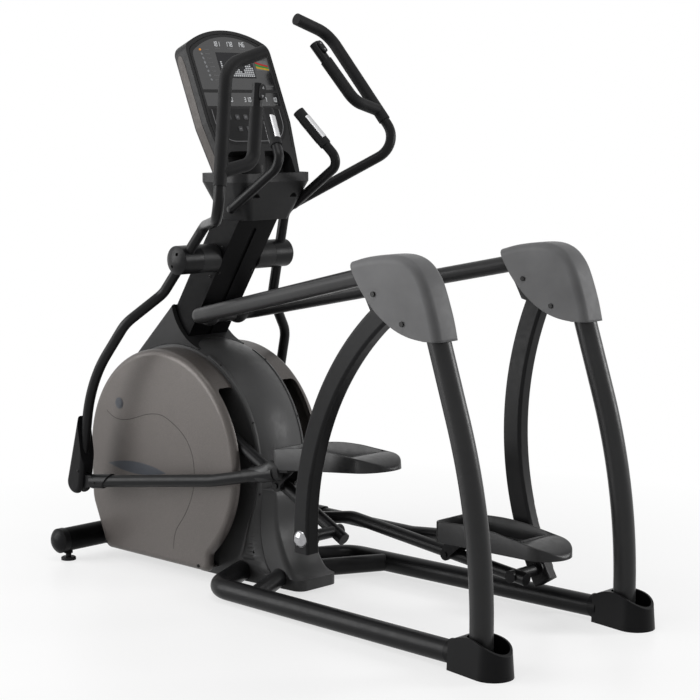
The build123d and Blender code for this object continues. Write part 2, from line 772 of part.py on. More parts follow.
def fender(inset):
    """Barrel-shaped wheel of the middle cover, drawn in from its surface by a distance."""
    half = SPINE_HALF - inset
    edge = SPINE_R - inset
    crown = edge + SPINE_CROWN
    profile = make_face(
        [
            Line((-half, 0), (half, 0)),
            Line((half, 0), (half, edge)),
            ThreePointArc((half, edge), (0, crown), (-half, edge)),
            Line((-half, edge), (-half, 0)),
        ]
    )
    return Pos(0, *HOUSING_C) * revolve(profile, axis=Axis.X)


def tail_section(z, inset):
    """Level slice of the tail: a flat-ended tongue that reaches back between the base rails."""
    share = max(0.0, z - TAIL_LIP) / (TAIL_TOP_Z - TAIL_LIP)
    rear = TAIL_TIP_Y + (TAIL_TOP_Y - TAIL_TIP_Y) * share**TAIL_CURVE + inset
    flank = FLANK_LOW_Y + (FLANK_TOP_Y - FLANK_LOW_Y) * share**0.8 + inset
    side = TAIL_HALF - 18.0 * share - inset
    half = SPINE_HALF - inset
    back = 470.0
    left = [(-half, back), (-half, flank), (-side, rear)]
    right = [(side, rear), (half, flank), (half, back)]
    face = make_face(Polyline(*left, *right, close=True))
    corners = face.vertices().sort_by(Axis.Y)[:2]
    return Plane((0, 0, z)) * fillet(corners, TAIL_CORNER - 20.0 * share**TAIL_CURVE)


def tail(inset):
    """Tail of the middle cover, sweeping out to the rear as it comes down to an upright lip at the floor."""
    low = 5.0 if inset == 0 else 0.0
    lip = TAIL_LIP - inset
    rise = TAIL_TOP_Z - TAIL_LIP
    levels = [TAIL_LIP + rise * share for share in (0, 0.06, 0.16, 0.33, 0.6, 1)]
    upper = Pos(0, 0, -inset) * loft([tail_section(z, inset) for z in levels])
    return upper + Pos(0, 0, low) * extrude(tail_section(0, inset), amount=lip - low)


def spine_block(inset):
    """The middle cover as one solid: fender, tail and straight front foot."""
    half = SPINE_HALF - inset
    front = (HOUSING_C[0] + SPINE_R - inset, HOUSING_C[1])
    toe = (HOUSING_TOE_Y - inset, HOUSING_BOTTOM)
    knee = (HOUSING_KNEE[0] - inset, HOUSING_KNEE[1])
    foot = polygon(front, knee, toe, (400.0, HOUSING_BOTTOM), (400.0, front[1]))
    wheel = fender(inset) - Pos(0, 0, HOUSING_BOTTOM - 500) * Box(4000, 4000, 1000)
    tongue = tail(inset) & Box(2 * half, 4000, 4000)
    return wheel + tongue + prism(foot, -half, half)


def spine_cover():
    """Fender between the side covers, closed at its sides, with openings for what passes through."""
    body = spine_block(0) - spine_block(HOUSING_WALL)
    body -= Pos(0, 570, 0) * Box(2 * SPINE_HALF - 2 * HOUSING_WALL, 520, 200)
    body -= rod(60, -SPINE_HALF, SPINE_HALF, CRANK_C)
    for path, bends, od in ((rail_path(), [RAIL_BEND_R], RAIL_OD), (cross_path(), [], CROSS_OD)):
        passage = pipe(path, bends, od + 2 * SEAT)
        body -= passage + mirror(passage, about=Plane.YZ)
    body -= mast_room(-MAST_SINK - 20, MAST_LENGTH)
    body -= mast_bar(-POST_HALF - 12, POST_HALF + 12, -20, POST_FRONT + 30, -200, 0)
    body -= Pos(0, HOUSING_TOE_Y, BEAM_TOP / 2) * Box(2 * BEAM_HALF + 2, 400, BEAM_TOP + 2)
    return max(body.solids(), key=lambda s: s.volume)


def mast_boot():
    """Saddle between the drive housing and the mast, swept down to the rear in a hollow curve."""
    front, peak, rear = (772.0, 674.0), (604.0, 836.0), (478.0, 708.0)
    outline = [
        Polyline(peak, front, (front[0], 560.0), (rear[0], 560.0), rear),
        ThreePointArc(rear, (556.0, 752.0), peak),
    ]
    boot = prism(outline, 5 - SPINE_HALF, SPINE_HALF - 5)
    slope = [e for e in boot.edges() if e.center().Y > 640 and e.center().Z > 690]
    boot = fillet(slope, 10)
    boot -= fender(-SEAT)
    boot -= mast_room(-300, 200)
    return max(boot.solids(), key=lambda s: s.volume)


# Console

def console_point(off, up):
    """Side-view point at a distance out of the console's face, towards the user, and up along it."""
    angle = math.radians(CONSOLE_LEAN)
    y = CONSOLE_FOOT[0] - off * math.cos(angle) + up * math.sin(angle)
    z = CONSOLE_FOOT[1] + off * math.sin(angle) + up * math.cos(angle)
    return (y, z)


def console_plane(off):
    """Plane of the console's face: local x is across, local y up the face, and it looks at the user."""
    y, z = console_point(off, 0)
    angle = math.radians(CONSOLE_LEAN)
    return Plane((0, y, z), x_dir=(1, 0, 0), z_dir=(0, -math.cos(angle), math.sin(angle)))


def console_face(inset):
    """Outline of the console: it widens up to its waist and ends in an arched crown with round corners."""
    low, half, side = CONSOLE_HALF_LOW - inset, CONSOLE_HALF_TOP - inset, CONSOLE_SIDE - inset
    right = [(low, CONSOLE_LOW + inset), (half, CONSOLE_WAIST), (half, side)]
    left = [(-x, up) for x, up in reversed(right)]
    crown = ThreePointArc((half, side), (0, CONSOLE_CROWN - inset), (-half, side))
    face = make_face([Polyline(*left, *right), crown])
    return fillet(face.vertices().sort_by(Axis.Y)[-2:], CONSOLE_CORNER - inset / 2)


def face_band(inset, low, high):
    """The part of the console's inset outline between two heights on its face."""
    band = Pos(0, (low + high) / 2) * Rectangle(2 * CONSOLE_HALF_TOP, high - low - 2 * inset)
    return console_face(CONSOLE_BEZEL + inset) & band


def display_faces(inset):
    """Main window under the crown, and the strip of figures below it."""
    return [face_band(inset, DISPLAY_LOW, CONSOLE_CROWN), face_band(inset, STRIP_LOW, STRIP_TOP)]


def keypad_face(inset):
    """Shield with a deep round lower edge."""
    face = face_band(inset, KEYPAD_LOW, KEYPAD_TOP)
    return fillet(face.vertices().sort_by(Axis.Y)[:2], KEYPAD_ROUND - inset)


def cup_pocket():
    """Hollow above the cup holders, round a column that widens towards its foot."""
    half = CONSOLE_HALF_LOW - POCKET_SIDE
    low = CONSOLE_LOW - 10
    window = Pos(0, (low + POCKET_TOP) / 2) * Rectangle(2 * half, POCKET_TOP - low)
    window = fillet(window.vertices().sort_by(Axis.Y)[-2:], 2 * POCKET_SIDE)
    foot_r, top_r = COLUMN_R
    height = console_point(0, POCKET_TOP)[1] - TRAY_TOP_Z + 30
    column = Cone(foot_r, top_r, height, align=STANDING)
    pocket = extrude(console_plane(1) * window, amount=-POCKET_DEEP - 1)
    return pocket - Pos(0, COLUMN_Y, TRAY_TOP_Z - 30) * column


def face_groove():
    """Narrow groove round the face, above the cup pocket."""
    line = console_face(CONSOLE_GROOVE) - console_face(CONSOLE_GROOVE + 2)
    low = POCKET_TOP + 10
    band = Pos(0, (low + CONSOLE_CROWN) / 2) * Rectangle(2 * CONSOLE_HALF_TOP, CONSOLE_CROWN - low)
    return extrude(console_plane(1) * (line & band), amount=-1 - DISPLAY_RECESS)


def console_housing():
    """Shield-shaped housing with sunk windows and keypad, over an open pocket for the cups."""
    body = extrude(console_plane(0) * console_face(0), amount=-CONSOLE_DEEP)
    out = console_plane(0).z_dir
    back = min(body.faces(), key=lambda f: f.center().dot(out))
    body = fillet(back.edges(), CONSOLE_EDGE)
    for face in (*display_faces(0), keypad_face(0)):
        body -= extrude(console_plane(0) * face, amount=-DISPLAY_RECESS)
    return body - cup_pocket() - face_groove() - post_room(300, MAST_LENGTH + POST_RISE + SEAT)


def console_display():
    plane = console_plane(-DISPLAY_RECESS)
    windows = [extrude(plane * face, amount=DISPLAY_RECESS) for face in display_faces(SEAT)]
    return Compound(children=[s for w in windows for s in w.solids()])


def console_keypad():
    return extrude(console_plane(-DISPLAY_RECESS) * keypad_face(SEAT), amount=DISPLAY_RECESS)


def tray_outline(z, inset):
    """Rounded outline of the tray's rim at a height."""
    middle = (TRAY_REAR_Y + TRAY_FRONT_Y) / 2
    depth = TRAY_FRONT_Y - TRAY_REAR_Y
    outline = RectangleRounded(2 * (TRAY_HALF - inset), depth - 2 * inset, TRAY_CORNER - inset)
    return Plane((0, middle, z)) * outline


def console_tray():
    """Bowl below the console with two cup holders and a collar onto the mast."""
    middle = (TRAY_REAR_Y + TRAY_FRONT_Y) / 2
    depth = TRAY_FRONT_Y - TRAY_REAR_Y
    top = tray_outline(TRAY_TOP_Z, 0)
    waist = Plane((0, middle + 2, 1166)) * RectangleRounded(2 * MAST_HALF + 80, depth - 30, 36)
    low = Plane((0, middle + 4, 1112)) * RectangleRounded(2 * MAST_HALF + 12, depth - 66, 20)
    tray = loft([low, waist, top]) + extrude(top, amount=TRAY_RIM)
    hollow = extrude(tray_outline(TRAY_TOP_Z, TRAY_WALL), amount=2 * TRAY_RIM)
    behind = Pos(0, CONSOLE_FOOT[0], 0) * Box(999, 999, 9999, align=(Align.CENTER, Align.MIN, Align.CENTER))
    tray -= hollow - behind
    for x in (-CUP_X, CUP_X):
        tray -= Pos(x, CUP_Y, CUP_FLOOR_Z) * Cylinder(CUP_R, 80, align=STANDING)
    tray -= extrude(console_plane(SEAT) * console_face(-SEAT), amount=-CONSOLE_DEEP - 2 * SEAT)
    tray -= mast_room(300, MAST_LENGTH + SEAT) + post_room(300, MAST_LENGTH + POST_RISE + SEAT)
    for side in (LEFT, RIGHT):
        tray -= on_side(pulse_bar(PULSE_OD + 2 * SEAT), side)
    return max(tray.solids(), key=lambda s: s.volume)


def pulse_path():
    return [(MAST_HALF - 20, 352, 1150), (128, 290, 1147), (124, 78, 1286), (67, 190, 1430)]


def pulse_bar(od, wall=0.0):
    return pipe(pulse_path(), [34, 38], od, wall)


def pulse_handle():
    bar = pulse_bar(PULSE_OD, 2)
    return bar - mast_room(300, MAST_LENGTH + SEAT)


def pulse_grip_frame():
    """Start and direction of a pulse grip, from its lower end."""
    before, last = pulse_path()[-2:]
    end = Vector(*last)
    along = (end - Vector(*before)).normalized()
    return end, along


def pulse_grip():
    end, along = pulse_grip_frame()
    start = end - along * (PULSE_GRIP - 12)
    grip = extrude(Plane(start, z_dir=along) * Circle(PULSE_GRIP_OD / 2), amount=PULSE_GRIP)
    grip = fillet(grip.edges(), 3)
    return grip - pulse_bar(PULSE_OD + 2 * SEAT)


def pulse_contacts():
    """Metal plates along the front and rear of a pulse grip."""
    end, along = pulse_grip_frame()
    start = end - along * (PULSE_GRIP - 34)
    plane = Plane(start, x_dir=(1, 0, 0), z_dir=along)
    band = Circle(PULSE_GRIP_OD / 2 + 1.2) - Circle(PULSE_GRIP_OD / 2 + SEAT)
    plates = []
    for turn in (0, 180):
        window = Rot(Z=turn) * Pos(0, PULSE_GRIP_OD / 2) * Rectangle(20, PULSE_GRIP_OD / 2)
        plates.append(extrude(plane * (band & window), amount=PULSE_GRIP - 52))
    return Compound(children=[s for p in plates for s in p.solids()])


# Crank, belt and flywheel

def crank_arm(side):
    """Flat arm from the axle to the crank pin's boss, which stops short of the pedal tube's hub."""
    pin = POSE[side]["pin"]
    web = hull_bar(CRANK_C, 34, pin, CRANK_BOSS_R)
    arm = prism(web, CRANK_IN, CRANK_OUT) - rod(CRANK_AXLE_R, CRANK_IN - 1, CRANK_OUT + 1, CRANK_C)
    return on_side(arm, side)


def hull_bar(a, radius_a, b, radius_b):
    """Outline of a bar with a round end at each of two points."""
    span = math.dist(a, b)
    line = math.atan2(b[1] - a[1], b[0] - a[0])
    tilt = math.acos((radius_a - radius_b) / span)

    def edge(centre, radius, angle):
        return (centre[0] + radius * math.cos(angle), centre[1] + radius * math.sin(angle))

    a_near, a_far = edge(a, radius_a, line + tilt), edge(a, radius_a, line - tilt)
    b_near, b_far = edge(b, radius_b, line + tilt), edge(b, radius_b, line - tilt)
    return [
        ThreePointArc(a_near, edge(a, radius_a, line + math.pi), a_far),
        Line(a_far, b_far),
        ThreePointArc(b_far, edge(b, radius_b, line), b_near),
        Line(b_near, a_near),
    ]


def crank_axle():
    return rod(CRANK_AXLE_R, -CRANK_OUT, CRANK_OUT, CRANK_C)


def crank_bearings():
    return both(ring(BEARING_R, CRANK_AXLE_R + RUN, PLATE_IN, PLATE_OUT, CRANK_C))


def drive_pulley():
    """Belt wheel with a rim, a web with lightening holes and a hub."""
    x0, x1 = PULLEY_X
    wheel = ring(PULLEY_R, PULLEY_R - 14, x0, x1, CRANK_C) + ring(34, CRANK_AXLE_R, x0, x1, CRANK_C)
    wheel += ring(PULLEY_R - 10, 30, x0 + 6, x1 - 6, CRANK_C)
    for step in range(6):
        wheel -= rod(24, x0, x1, slope_point(CRANK_C, 84, 60 * step))
    return wheel


def flywheel():
    """Heavy rim on a thin web, with the small belt wheel on its hub."""
    x0, x1 = FLYWHEEL_X
    rim = ring(FLYWHEEL_R, FLYWHEEL_R - 38, x0, x1, FLYWHEEL_C)
    web = ring(FLYWHEEL_R - 30, FLYWHEEL_AXLE_R + RUN, x0 + 14, x1 - 14, FLYWHEEL_C)
    hub = ring(DRIVEN_R, FLYWHEEL_AXLE_R + RUN, x0 + 4, PULLEY_X[1], FLYWHEEL_C)
    return rim + web + hub


def flywheel_axle():
    return rod(FLYWHEEL_AXLE_R, -PLATE_OUT - 4, PLATE_OUT + 4, FLYWHEEL_C)


def belt_side():
    """Direction from the crank to the flywheel, and the tilt of the belt's straight runs."""
    line = slope_of(CRANK_C, FLYWHEEL_C)
    tilt = math.degrees(math.acos((PULLEY_R - DRIVEN_R) / math.dist(CRANK_C, FLYWHEEL_C)))
    return line, tilt


def idler_x():
    return (PULLEY_X[0] - 2, PULLEY_X[1] + 1)


def idler_point():
    """Centre of the idler, which rolls on the outside of the belt's lower run."""
    line, tilt = belt_side()
    off = BELT_THICK + IDLER_R + 2 * SEAT
    a = slope_point(CRANK_C, PULLEY_R + off, line - tilt)
    b = slope_point(FLYWHEEL_C, DRIVEN_R + off, line - tilt)
    return ((a[0] + b[0]) / 2, (a[1] + b[1]) / 2)


def drive_belt():
    inner = hull_bar(CRANK_C, PULLEY_R + SEAT, FLYWHEEL_C, DRIVEN_R + SEAT)
    outer = hull_bar(CRANK_C, PULLEY_R + SEAT + BELT_THICK, FLYWHEEL_C, DRIVEN_R + SEAT + BELT_THICK)
    x0, x1 = PULLEY_X
    return prism(outer, x0, x1) - prism(inner, x0, x1)


def idler_pulley():
    return ring(IDLER_R, 6 + RUN, PULLEY_X[0], PULLEY_X[1], idler_point())


def brake_unit():
    """Curved magnet shoe beside the flywheel's rim, held on the left post."""
    x0, x1 = FLYWHEEL_X
    facing = slope_of(FLYWHEEL_C, CRANK_C)
    shoe = ring(FLYWHEEL_R + 24, FLYWHEEL_R + 4, -PLATE_IN, x1 - 2, FLYWHEEL_C)
    a = slope_point(FLYWHEEL_C, 400, facing - 16)
    b = slope_point(FLYWHEEL_C, 400, facing + 16)
    return shoe & prism(polygon(FLYWHEEL_C, a, b), -PLATE_IN, x1)


# Swing arms and pedal tubes

def swing_arm():
    """Bowed hollow bar that hangs from the shoulder, leaning in to the pedal tube, with a square toe."""
    top = (SWING_TOP_X, 0, 0)
    foot = (SWING_LOW_X, 0, -SWING_LENGTH)
    middle = ((SWING_TOP_X + SWING_LOW_X) / 2, SWING_BOW, -SWING_LENGTH / 2)
    bow = ThreePointArc(top, middle, foot)
    path = ThreePointArc(top, middle, bow @ (1 + SWING_TOE / bow.length))
    start = Plane(path @ 0, x_dir=(1, 0, 0.02), z_dir=path % 0)
    hollow = RectangleRounded(SWING_THICK - 2 * SWING_WALL, SWING_DEEP - 2 * SWING_WALL, 9 - SWING_WALL)
    bar = sweep(start * RectangleRounded(SWING_THICK, SWING_DEEP, 9), path=path)
    inside = ThreePointArc(bow @ 0.06, middle, bow @ 0.94)
    bar -= sweep(Plane(inside @ 0, x_dir=(1, 0, 0.02), z_dir=inside % 0) * hollow, path=inside)
    inner = BRACKET_HALF - BRACKET_PLATE - SIDE_GAP
    hub = rod(SWING_HUB_R, SWING_TOP_X - inner, SWING_TOP_X + inner, (0, 0))
    half = SWING_THICK / 2
    low, high = SWING_LOW_X - half, SWING_LOW_X + half
    eye = rod(SWING_DEEP / 2 - 2, low - SWING_EYE_LIP, high, (0, -SWING_LENGTH))
    arm = bar + hub + eye
    arm -= rod(SWING_PIN_R + RUN, SWING_TOP_X - 80, SWING_TOP_X + 80, (0, 0))
    arm -= rod(LOW_PIN_R + RUN, low - 60, high - 6, (0, -SWING_LENGTH))
    dome = Pos(high, 0, -SWING_LENGTH) * Rot(Y=90) * dome_cap(DOME_R, DOME_H)
    return Compound(children=[*arm.solids(), *dome.solids()])


def dome_cap(radius, height):
    """Shallow dome, round side up, on the level z = 0."""
    ball_r = (radius**2 + height**2) / (2 * height)
    ball = Pos(0, 0, height - ball_r) * Sphere(ball_r)
    return ball & (Pos(0, 0, height / 2) * Box(3 * radius, 3 * radius, height))


def pedal_tube():
    """Bent tube from the crank's hub to past the swing arm, with its two cross pins."""
    bend = math.radians(TUBE_TURN)
    nose = (TUBE_X, TUBE_RUN + TUBE_NOSE * math.cos(bend), -TUBE_NOSE * math.sin(bend))
    path = [(TUBE_X, -TUBE_TAIL, 0), (TUBE_X, TUBE_RUN, 0), nose]
    tube = pipe(path, [120], TUBE_OD)
    tube -= pipe([(TUBE_X, 20, 0), path[1], nose], [120], TUBE_OD - 2 * TUBE_WALL)
    hub_at = nose[1:]
    tube += rod(HUB_R, CRANK_OUT + SIDE_GAP, TUBE_X + HUB_R, hub_at)
    tube -= rod(CRANK_AXLE_R, CRANK_OUT, TUBE_X + HUB_R - 8, hub_at)
    low_end = SWING_LOW_X + SWING_THICK / 2 - 6 - SIDE_GAP
    tube += rod(LOW_PIN_R, TUBE_X, low_end, (0, 0))
    tube += rod(LOW_PIN_R + 6, TUBE_X - TUBE_OD / 2 - 5, TUBE_X, (0, 0))
    tube += rod(LOW_PIN_R + 5, TUBE_X, SWING_LOW_X - SWING_THICK / 2 - SWING_EYE_LIP - SIDE_GAP, (0, 0))
    knee = (KNEE_RUN, 0)
    tube += rod(KNEE_BOSS_R, TUBE_X - EAR_IN + SIDE_GAP, TUBE_X + EAR_IN - SIDE_GAP, knee)
    reach = EAR_IN + EAR_THICK + 4
    return tube + rod(KNEE_PIN_R, TUBE_X - reach, TUBE_X + reach, knee)


# Foot links: pedal, bracket and link tube

def ear_plate():
    """Side outline of an ear of the fork bracket, from the pin up to the plate under the pedal."""
    top = PEDAL_RISE - BRACKET_FLOOR
    return [
        ThreePointArc((EAR_R, 0), (0, -EAR_R), (-EAR_R, 0)),
        Line((-EAR_R, 0), (-74, top)),
        Line((-74, top), (EAR_R - 22, top)),
        Line((EAR_R - 22, top), (EAR_R, 0)),
    ]


def link_points():
    """Axis of the link tube: from the pedal's front wall, over a slight bend, to the lower knuckle."""
    rear = (LINK_X_REAR, PEDAL_FRONT - 10, PEDAL_RISE - 10)
    joint = (LINK_X_FRONT, LINK_LENGTH, 0)
    setback = 1 - LINK_SETBACK / (LINK_LENGTH - LINK_BEND[1])
    return [rear, LINK_BEND, between(LINK_BEND, joint, setback)]


def link_sleeve(foot, mouth, slant):
    """Moulded sleeve over an end of the link tube, its mouth cut at a slant."""
    along = Plane(mouth, z_dir=Vector(*mouth) - Vector(*foot))
    reach = between(foot, mouth, 1.6)
    cut = Plane(along.origin, z_dir=along.z_dir + Vector(0, 0, slant)) * Box(300, 300, 300, align=STANDING)
    return pipe([foot, reach], [], LINK_OD + 8) - cut


def link_tube():
    """Link weldment: tube with sleeves, an eye at the knuckle, and the fork bracket under the pedal."""
    rear, bend, front = link_points()
    bore = [between(rear, bend, 0.2), bend, between(front, bend, 0.04)]
    weld = pipe([rear, bend, front], [LINK_BEND_R], LINK_OD)
    weld -= pipe(bore, [LINK_BEND_R], LINK_OD - 2 * LINK_WALL)
    weld += link_sleeve(rear, between(rear, bend, 0.42), -0.9)
    weld += link_sleeve(front, between(front, bend, 0.13), -0.9)
    tongue = hull_bar((LINK_LENGTH, 0), TONGUE_R, (LINK_LENGTH - LINK_SETBACK - 4, 4), TONGUE_R - 6)
    weld += prism(tongue, LINK_X_FRONT - TONGUE_HALF, LINK_X_FRONT + TONGUE_HALF)
    inner, outer = EAR_IN, EAR_IN + EAR_THICK
    for x in (TUBE_X + inner, TUBE_X - outer):
        weld += prism(ear_plate(), x, x + EAR_THICK)
    x0, x1 = TUBE_X - outer, LINK_X_REAR + 6
    floor = Box(x1 - x0, 92, BRACKET_FLOOR, align=(Align.CENTER, Align.CENTER, Align.MAX))
    weld += Pos((x0 + x1) / 2, PEDAL_FRONT - 20, PEDAL_RISE) * floor
    weld -= rod(KNEE_PIN_R + RUN, 0, 400, (0, 0)) + rod(STUB_R + STUB_PLAY, 0, 400, (LINK_LENGTH, 0))
    return weld - pedal_block(SEAT)


def pedal_plan(grow):
    """Outline of a pedal seen from above: rounded front corners and a round heel."""
    x0, x1 = PEDAL_IN - grow, PEDAL_OUT + grow
    front, rear = PEDAL_FRONT + grow, PEDAL_FRONT - PEDAL_LENGTH - grow
    middle = (x0 + x1) / 2
    heel = rear + (x1 - x0) / 2
    corner = 24.0 + grow
    return [
        Line((x0, heel), (x0, front - corner)),
        RadiusArc((x0, front - corner), (x0 + corner, front), corner),
        Line((x0 + corner, front), (x1 - corner, front)),
        RadiusArc((x1 - corner, front), (x1, front - corner), corner),
        Line((x1, front - corner), (x1, heel)),
        ThreePointArc((x1, heel), (middle, rear), (x0, heel)),
    ]


def pedal_block(grow):
    """Pedal without its hollow: upright walls that fall away towards a raised, rounded heel."""
    plan = Pos(0, 0, PEDAL_RISE - grow) * extrude(make_face(pedal_plan(grow)), amount=PEDAL_TOP + 40)
    front = PEDAL_FRONT + 40
    rear = PEDAL_FRONT - PEDAL_LENGTH - 40
    base = PEDAL_RISE - grow
    side = [
        Line((front, base), (front, PEDAL_RISE + PEDAL_TOP - 8)),
        Spline(
            (front, PEDAL_RISE + PEDAL_TOP - 8),
            (PEDAL_FRONT - 130, PEDAL_RISE + PEDAL_TOP),
            (PEDAL_FRONT - 270, PEDAL_RISE + PEDAL_TOP - 10),
            (PEDAL_FRONT - PEDAL_LENGTH + 40, PEDAL_RISE + 40),
            (rear, PEDAL_RISE + 20),
        ),
        Line((rear, PEDAL_RISE + 20), (PEDAL_FRONT - PEDAL_LENGTH + 70, base)),
        Line((PEDAL_FRONT - PEDAL_LENGTH + 70, base), (front, base)),
    ]
    return plan & prism(side, 0, 400)


def tread_profile():
    """Side view of the space over the tread: level, then over a round hump, and down to the heel."""
    low = PEDAL_RISE + PEDAL_FLOOR
    hump = PEDAL_FRONT - PEDAL_LENGTH + 92
    heel = PEDAL_FRONT - PEDAL_LENGTH - 40
    return [
        Line((PEDAL_FRONT, low), (hump + 120, low)),
        Spline((hump + 120, low), (hump, low + 22), (heel, low - 8), tangents=((-1, 0), (-1, -0.6))),
        Polyline((heel, low - 8), (heel, low + 200), (PEDAL_FRONT, low + 200), (PEDAL_FRONT, low)),
    ]


def tread_ribs():
    """Low ribs across the rear half of the tread."""
    width = PEDAL_OUT - PEDAL_IN - 2 * PEDAL_WALL - 20
    rib = fillet(Cylinder(RIB_H + 1, width, rotation=(0, 90, 0)).edges(), RIB_H / 2)
    middle = (PEDAL_IN + PEDAL_OUT) / 2
    first = PEDAL_FRONT - PEDAL_LENGTH / 2
    level = PEDAL_RISE + PEDAL_FLOOR - 1
    return [Pos(middle, first + i * TREAD_PITCH, level) * rib for i in range(TREAD_RIBS)]


def pedal():
    """Moulded footplate: walled tray with a ribbed tread that rolls out over the heel."""
    tray = extrude(make_face(pedal_plan(-PEDAL_WALL)), amount=200)
    plate = pedal_block(0) - (tray & prism(tread_profile(), 0, 400))
    for rib in tread_ribs():
        plate += rib
    return plate


# Moving handles

def arm_points():
    """Corners of a moving handle below its grip, in the handle's own frame (lower pivot straight below)."""
    return [
        (LINK_X_FRONT, 12, 60 - HANDLE_DROP),
        (LINK_X_FRONT, 108, -520),
        (LINK_X_FRONT, 53, -262),
        (ARM_X, 28, -141),
        (ARM_X, -33, 143),
        (448, -300, 342),
    ]


GRIP_TOP = (374.0, -54.0, 690.0)
GRIP_END = (246.0, -46.0, 731.0)
BRANCH_CORNER = (316.0, -226.0, 478.0)
BRANCH_END = (270.0, -94.0, 656.0)


def between(a, b, share):
    return tuple(p + share * (q - p) for p, q in zip(a, b))


def grip_points():
    low = arm_points()[-1]
    return [between(low, GRIP_TOP, 0.22), GRIP_TOP, GRIP_END]


def branch_points():
    low = arm_points()[-1]
    return [between(low, GRIP_TOP, 0.31), BRANCH_CORNER, BRANCH_END]


def handle_arm():
    """Bent tube with the hub that turns on the mast's axle, and the inner branch under the grip."""
    path = arm_points() + [GRIP_TOP, GRIP_END]
    bends = [420, 90, 60, 60, 72, 76]
    bore = ARM_OD - 2 * ARM_WALL
    arm = pipe(path, bends, ARM_OD) + pipe(branch_points(), [46], ARM_OD)
    arm -= pipe(path, bends, bore) + pipe(branch_points(), [46], bore)
    arm += rod(HANDLE_HUB_R, HANDLE_HUB_IN, HANDLE_HUB_OUT, (0, 0))
    arm += Pos(HANDLE_HUB_OUT, 0, 0) * Rot(Y=90) * dome_cap(HANDLE_HUB_R, HANDLE_CAP)
    for shift in (-1, 1):
        hole_at = (0, shift * HANDLE_HUB_R / 2)
        arm -= rod(CAP_HOLE_R, HANDLE_HUB_OUT + HANDLE_CAP / 3, HANDLE_HUB_OUT + HANDLE_CAP, hole_at)
    return arm - rod(AXLE_R + RUN, HANDLE_HUB_IN - 1, AXLE_HALF + SIDE_GAP, (0, 0))


def handle_grip():
    """Rubber sleeve over the grip and the inner branch."""
    sleeve = pipe(grip_points(), [76], GRIP_OD)
    end = Vector(*GRIP_END)
    along = (end - Vector(*GRIP_TOP)).normalized()
    sleeve += extrude(Plane(end, z_dir=along) * Circle(GRIP_OD / 2), amount=6)
    points = branch_points()
    sleeve += pipe([points[0], points[1], between(points[1], points[2], 0.7)], [46], GRIP_OD)
    sleeve -= pipe(arm_points()[-2:] + [GRIP_TOP, GRIP_END], [72, 76], ARM_OD + 2 * SEAT)
    return sleeve - pipe(points, [46], ARM_OD + 2 * SEAT)


def switch_plane():
    """Plane of the thumb switch on the end of the inner branch, facing the user."""
    along = (Vector(*BRANCH_END) - Vector(*BRANCH_CORNER)).normalized()
    seat = Vector(*BRANCH_END) - along * SWITCH_BACK
    return Plane(seat, x_dir=along, z_dir=along.cross(Vector(-1, 0, 0)))


def thumb_switch():
    """Rocker pad with two rounded ends and the ridge that it rocks on."""
    base = switch_plane().offset(ARM_OD / 2 + SWITCH_LIFT)
    pad = extrude(base * SlotOverall(44, 20), amount=5)
    return pad + extrude(base * Rectangle(5, 14), amount=0.25 - SWITCH_LIFT)


def arm_knuckle():
    """Moulded boot at the foot of a moving handle: a slant-mouthed sleeve over two cheeks with stub pins."""
    low = -HANDLE_DROP
    foot, bend = arm_points()[:2]
    crown = between(foot, bend, (BOOT_RISE - 60) / (bend[2] - foot[2]))
    outline = hull_bar((0, low), KNUCKLE_R, crown[1:], ARM_OD / 2 + 7)
    body = prism(outline, LINK_X_FRONT - KNUCKLE_HALF, LINK_X_FRONT + KNUCKLE_HALF)
    sides = body.faces().filter_by(Axis.X)
    body = fillet(sides.edges(), 14)
    mouth = Rot(X=52) * Box(200, 400, 200, align=STANDING)
    body -= Pos(LINK_X_FRONT, crown[1], low + BOOT_RISE - 30) * mouth
    gap = TONGUE_HALF + 1.5
    cleft = Box(2 * gap, 400, 52 + 2 * KNUCKLE_R, align=(Align.CENTER, Align.CENTER, Align.MAX))
    body -= Pos(LINK_X_FRONT, 0, low + 52) * cleft
    stub = rod(STUB_R, LINK_X_FRONT + gap - 6, LINK_X_FRONT + gap + 1, (0, low))
    stub += rod(STUB_R, LINK_X_FRONT - gap - 1, LINK_X_FRONT - gap + 6, (0, low))
    return body + stub - pipe(arm_points()[:3], [420], ARM_OD + 2 * SEAT)


